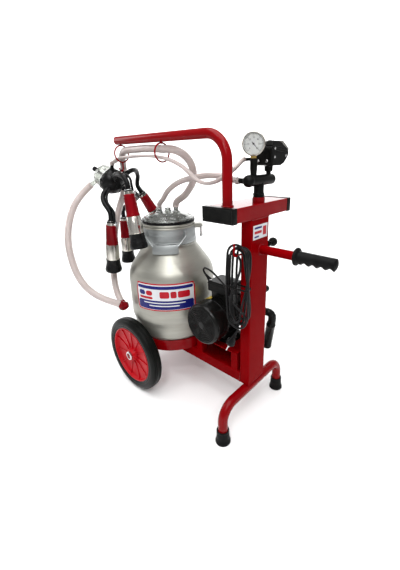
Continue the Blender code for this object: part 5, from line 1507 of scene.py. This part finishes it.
def make_claw():
    repaint(SOFT_RUBBER, "claw_body")
    across = CLAW_WAY.cross(UP).normalized()
    lift = across.cross(CLAW_WAY).normalized()
    top = mm(
        (0, 19.6), (12, 20), (30, 19.6), (41.2, 18.6), (44.6, 15), (45.8, 9), (46.4, 5), (47, 2),
        (46.4, -1.2), (45.2, -4), (44, -8), (41.8, -14),
    )
    bm = bmesh.new()
    add_lathe(bm, top, CLAW, CLAW_WAY, 96)
    for way in (across, lift):
        strap = []
        for i in range(33):
            angle = pi * (i / 32)
            radius, height = 0.0455 * cos(angle), 0.0190 + 0.0035 * sin(angle)
            bend = 0.0170 if abs(radius) > 0.042 else height
            strap.append(CLAW + radius * way + max(bend, 0.004) * CLAW_WAY)
        add_sweep(bm, strap, 0.0042, 14)
    place(object_from("claw_moulded", bm, 40), SOFT_RUBBER, "cluster")
    dome = mm(
        (0, -38.5), (6, -38.4), (13, -37.4), (22, -34.5), (30, -29.8), (36.8, -23.2), (42, -16),
        (45.2, -9), (46.6, -3),
    )
    back = bmesh.new()
    add_lathe(back, dome, CLAW, CLAW_WAY, 96)
    for turn in (28, 118):
        way = circle_way(radians(turn), across, lift)
        strap = []
        for i in range(33):
            angle = radians(-82 + 164 * i / 32)
            strap.append(CLAW + 0.0462 * sin(angle) * way - 0.0392 * cos(angle) * CLAW_WAY)
        add_sweep(back, strap, 0.0024, 12)
    add_lathe(back, mm((0, 44), (6, 43.6), (8.5, 42), (9, 38), (0, 38)), CLAW, -CLAW_WAY, 40)
    place(object_from("claw_back", back, 40), SOFT_RUBBER, "cluster")

    bowl = mm(
        (6.2, 69.6), (11, 69.9), (16.5, 68.9), (25, 65), (32.2, 60), (37.2, 53), (40, 45.2), (40.8, 35),
        (41, 24), (43.6, 23.2), (44, 20), (41.2, 19.2), (38.2, 19.2), (37.2, 35), (36.6, 44), (34, 51),
        (29, 57), (22, 62.5), (14, 66), (6.2, 66.6),
    )
    bm = bmesh.new()
    add_lathe(bm, bowl, CLAW, CLAW_WAY, 96, closed=True)
    outlet = mm(
        (5.6, 30), (11, 31), (9, 38), (8.2, 42), (8.2, 50), (8.6, 51), (8, 53.5), (8.6, 54.5), (7.6, 58.5),
        (5.6, 58.5),
    )
    add_lathe(bm, outlet, OUTLET, OUTLET_WAY, 48, closed=True)
    place(object_from("claw_bowl_clear", bm, 40), CLEAR, "cluster", ("claw_bowl",))
    nubs = bmesh.new()
    for shift in (-0.0125, 0.0135):
        way = (CLAW_WAY + 0.35 * (shift / 0.013) * across + 0.30 * lift).normalized()
        at = CLAW + 0.0560 * CLAW_WAY + 1.55 * shift * across + 0.0125 * lift
        add_lathe(nubs, mm((0, 0), (6.2, 0), (6.6, 3), (6.6, 9), (5, 11.2), (0, 11.6)), at, way, 32)
    place(object_from("claw_nubs", nubs), SOFT_RUBBER, "cluster")
    band = rings("claw_band", [(CLAW + 0.0212 * CLAW_WAY, CLAW_WAY, 0.0436, 0.0016)], 96, 10)
    place(band, PLATED, "cluster")
    valve = mm(
        (0, 92.4), (6, 92.2), (8.4, 90.8), (9.2, 88), (9, 85), (8.4, 84), (8.8, 82.6), (8.5, 80), (5, 79),
        (5, 33), (0, 33),
    )
    place(lathe("valve_button", valve, CLAW, CLAW_WAY, 48), RUBBER, "valve", ("claw_valve",))


def make_cups():
    """Red sleeve, steel shell and black liner of each teat cup, in the order that they stack."""
    for number, (top, down) in CUPS.items():
        top, down = Vector(top), Vector(down).normalized()
        sleeve = mm(
            (13.5, 9.6), (16, 9.8), (17.6, 10.6), (18.5, 12.4), (18.7, 15), (18.1, 16.6), (18, 18),
            (18.7, 29), (19.8, 50), (20.8, 69), (21.6, 74), (22.2, 77), (22.2, 80.6), (21.6, 81.8),
            (20, 82.2),
        )
        bm = bmesh.new()
        add_lathe(bm, sleeve, top, down, 72)
        side = down.cross(UP).normalized() if abs(down.z) < 0.999 else FORWARD
        for i in range(10):
            way = circle_way(2 * pi * i / 10, side, down.cross(side))
            add_rod(
                bm, top + 0.020 * down + 0.0178 * way, top + 0.066 * down + 0.0200 * way, 0.0012, 0.0004, 8,
            )
        # The sleeve's colour carries painted highlight and shade bands.
        place(object_from(f"cup_sleeve_{number}", bm, 40), SLEEVE_RED_PAINTED_HIGHLIGHTS, "cluster")
        shell = mm(
            (21.6, 82.2), (23.2, 83), (23.8, 84.2), (23.8, 137.6), (24.6, 138), (24.6, 139), (22.2, 139),
            (22.2, 84), (15.5, 78), (15, 1),
        )
        # The shell's colour carries painted reflection bands.
        made = lathe(f"cup_shell_{number}", shell, top, down, 72, closed=True)
        place(made, SHELL_STEEL_PAINTED_REFLECTION, "cluster", (f"teat_shell_{number}",))
        mouth = mm(
            (14, 139.3), (24.5, 139.3), (25.4, 140), (25.6, 144), (24.8, 146), (25, 156), (26.8, 166),
            (28.8, 174.5), (29.3, 178), (29.3, 185), (28.6, 188.5), (27, 190), (18, 190), (13, 189.6),
            (11.8, 188.5), (12, 186.8), (19, 180), (10.8, 146), (10.8, 60), (0, 56),
        )
        bm = bmesh.new()
        add_lathe(bm, mouth, top, down, 72)
        add_ring(bm, top + 0.1815 * down, down, 0.0292, 0.0009, 72, 8)
        place(object_from(f"cup_mouth_{number}", bm, 40), SOFT_RUBBER, "cluster")
        collar = mm(
            (0, -6.4), (10.8, -6.2), (12, -5), (12.2, -2), (14, -1.4), (15, 3), (15.6, 9), (15, 12),
            (0, 12),
        )
        short = [Vector(p) for p in SHORT_TUBES[number]]
        start = short[0] + 0.004 * (short[0] - CLAW).normalized()
        route = [start, *short[1:], top - 0.030 * down, top - 0.004 * down, top + 0.004 * down]
        bm = bmesh.new()
        add_lathe(bm, collar, top, down, 48)
        add_sweep(bm, smooth(route, 0.005), 0.0085, 32)
        place(
            object_from(f"cup_tube_milk_{number}", bm, 40), SOFT_RUBBER, "cluster", (f"teat_liner_{number}",),
        )
        nipple = bmesh.new()
        side = (short[0] - CLAW).normalized().cross(down).normalized()
        tip = mm((0, 0), (6.2, 0), (6.4, 3), (5, 4.2), (4.8, 9), (5.4, 10), (4.2, 13), (0, 13.2))
        add_lathe(nipple, tip, top + 0.0100 * down + 0.0140 * side, side - 1.6 * down, 28)
        add_ring(nipple, top - 0.0035 * down, down, 0.0114, 0.0012, 48, 8)
        place(object_from(f"cup_nipple_{number}", nipple), PLATED, "cluster")


make_claw()
make_cups()


# Column label and the cord's tie


def make_column_label():
    x = TOP_HIGH.x + 0.0003
    back, front = x - 0.0002, x + 0.0002
    place(boxes("column_label", [((back, -0.036, 0.6400), (front, 0.036, 0.6810))], 0.0001, 1), LABEL_WHITE)
    back, front = x + 0.0001, x + 0.0004
    bars = [
        ((back, -0.030, 0.6700), (front, 0.006, 0.6760)), ((back, -0.030, 0.6450), (front, -0.008, 0.6500)),
    ]
    place(boxes("column_label_bars", bars, 0.0001, 1), LABEL_NAVY)
    blocks = [
        ((back, 0.012, 0.6480), (front, 0.030, 0.6740)), ((back, -0.030, 0.6560), (front, 0.006, 0.6640)),
    ]
    place(boxes("column_label_block", blocks, 0.0001, 1), LABEL_RED)


def make_hank_tie():
    low, high = box_of("cord_hank")
    x, y = (low.x + high.x) / 2, (low.y + high.y) / 2
    outline = mm((0, -13.5), (36.5, -13.5), (36.5, 12.5), (-36.5, 12.5), (-36.5, -13.5), (-1, -13.5))
    points = round_corners([(x + across, y + along, 0.507) for across, along in outline], 0.006, 6)
    bm = bmesh.new()
    for lift in (-0.0018, 0.0, 0.0018):
        add_sweep(bm, [p + lift * UP for p in points], 0.0011, 10)
    place(object_from("hank_tie", bm, 60), SATIN_BLACK)


make_column_label()
make_hank_tie()


# Stage


def make_stage():
    size = 6.0
    bm = bmesh.new()
    rows = []
    sweep_up = ((-size, 0), (size * 0.5, 0), (size * 0.75, 0.15), (size * 0.9, 0.6), (size, 1.4), (size, 4.0))
    for y, z in sweep_up:
        rows.append([bm.verts.new((x, y, z - 0.0004)) for x in (-size, size)])
    for a, b in zip(rows, rows[1:]):
        bm.faces.new((a[0], a[1], b[1], b[0]))
    floor = object_from("floor", bm, 80)
    floor.matrix_world = Matrix.Rotation(CAMERA_TURN, 4, "Z")
    floor.data.materials.append(FLOOR)
    bpy.context.scene.collection.objects.link(floor)


def add_light(name, at, aim, size, power):
    light = bpy.data.lights.new(name, "AREA")
    light.shape = "RECTANGLE"
    light.size, light.size_y = size
    light.energy = power
    obj = bpy.data.objects.new(name, light)
    way = Vector(aim) - Vector(at)
    obj.matrix_world = Matrix.Translation(Vector(at)) @ way.to_track_quat("-Z", "Y").to_matrix().to_4x4()
    bpy.context.scene.collection.objects.link(obj)


def make_lights():
    world = bpy.data.worlds.new("studio")
    world.use_nodes = True
    world.node_tree.nodes["Background"].inputs["Color"].default_value = (1, 1, 1, 1)
    world.node_tree.nodes["Background"].inputs["Strength"].default_value = 0.46
    bpy.context.scene.world = world
    bpy.context.scene.view_settings.view_transform = "Standard"
    add_light("top", (0.2, -0.4, 3.0), (0, 0, 0), (2.6, 2.6), 84)
    add_light("key", (1.1, -1.5, 1.9), (-0.05, 0, 0.45), (0.9, 0.9), 10)
    add_light("left", (-1.9, -0.9, 1.3), (0, 0, 0.45), (0.5, 1.4), 10)
    for number, at in enumerate(((0.9, -1.3, 2.1), (1.5, -0.5, 2.0))):
        add_light(f"lamp_{number + 1}", at, (0, 0, 0.5), (0.05, 0.05), 7)
    turn = Matrix.Rotation(CAMERA_TURN, 4, "Z")
    add_light("wall", turn @ Vector((0, 3.4, 4.2)), turn @ Vector((0, 6.0, 1.6)), (7.0, 1.0), 400)


make_stage()
make_lights()
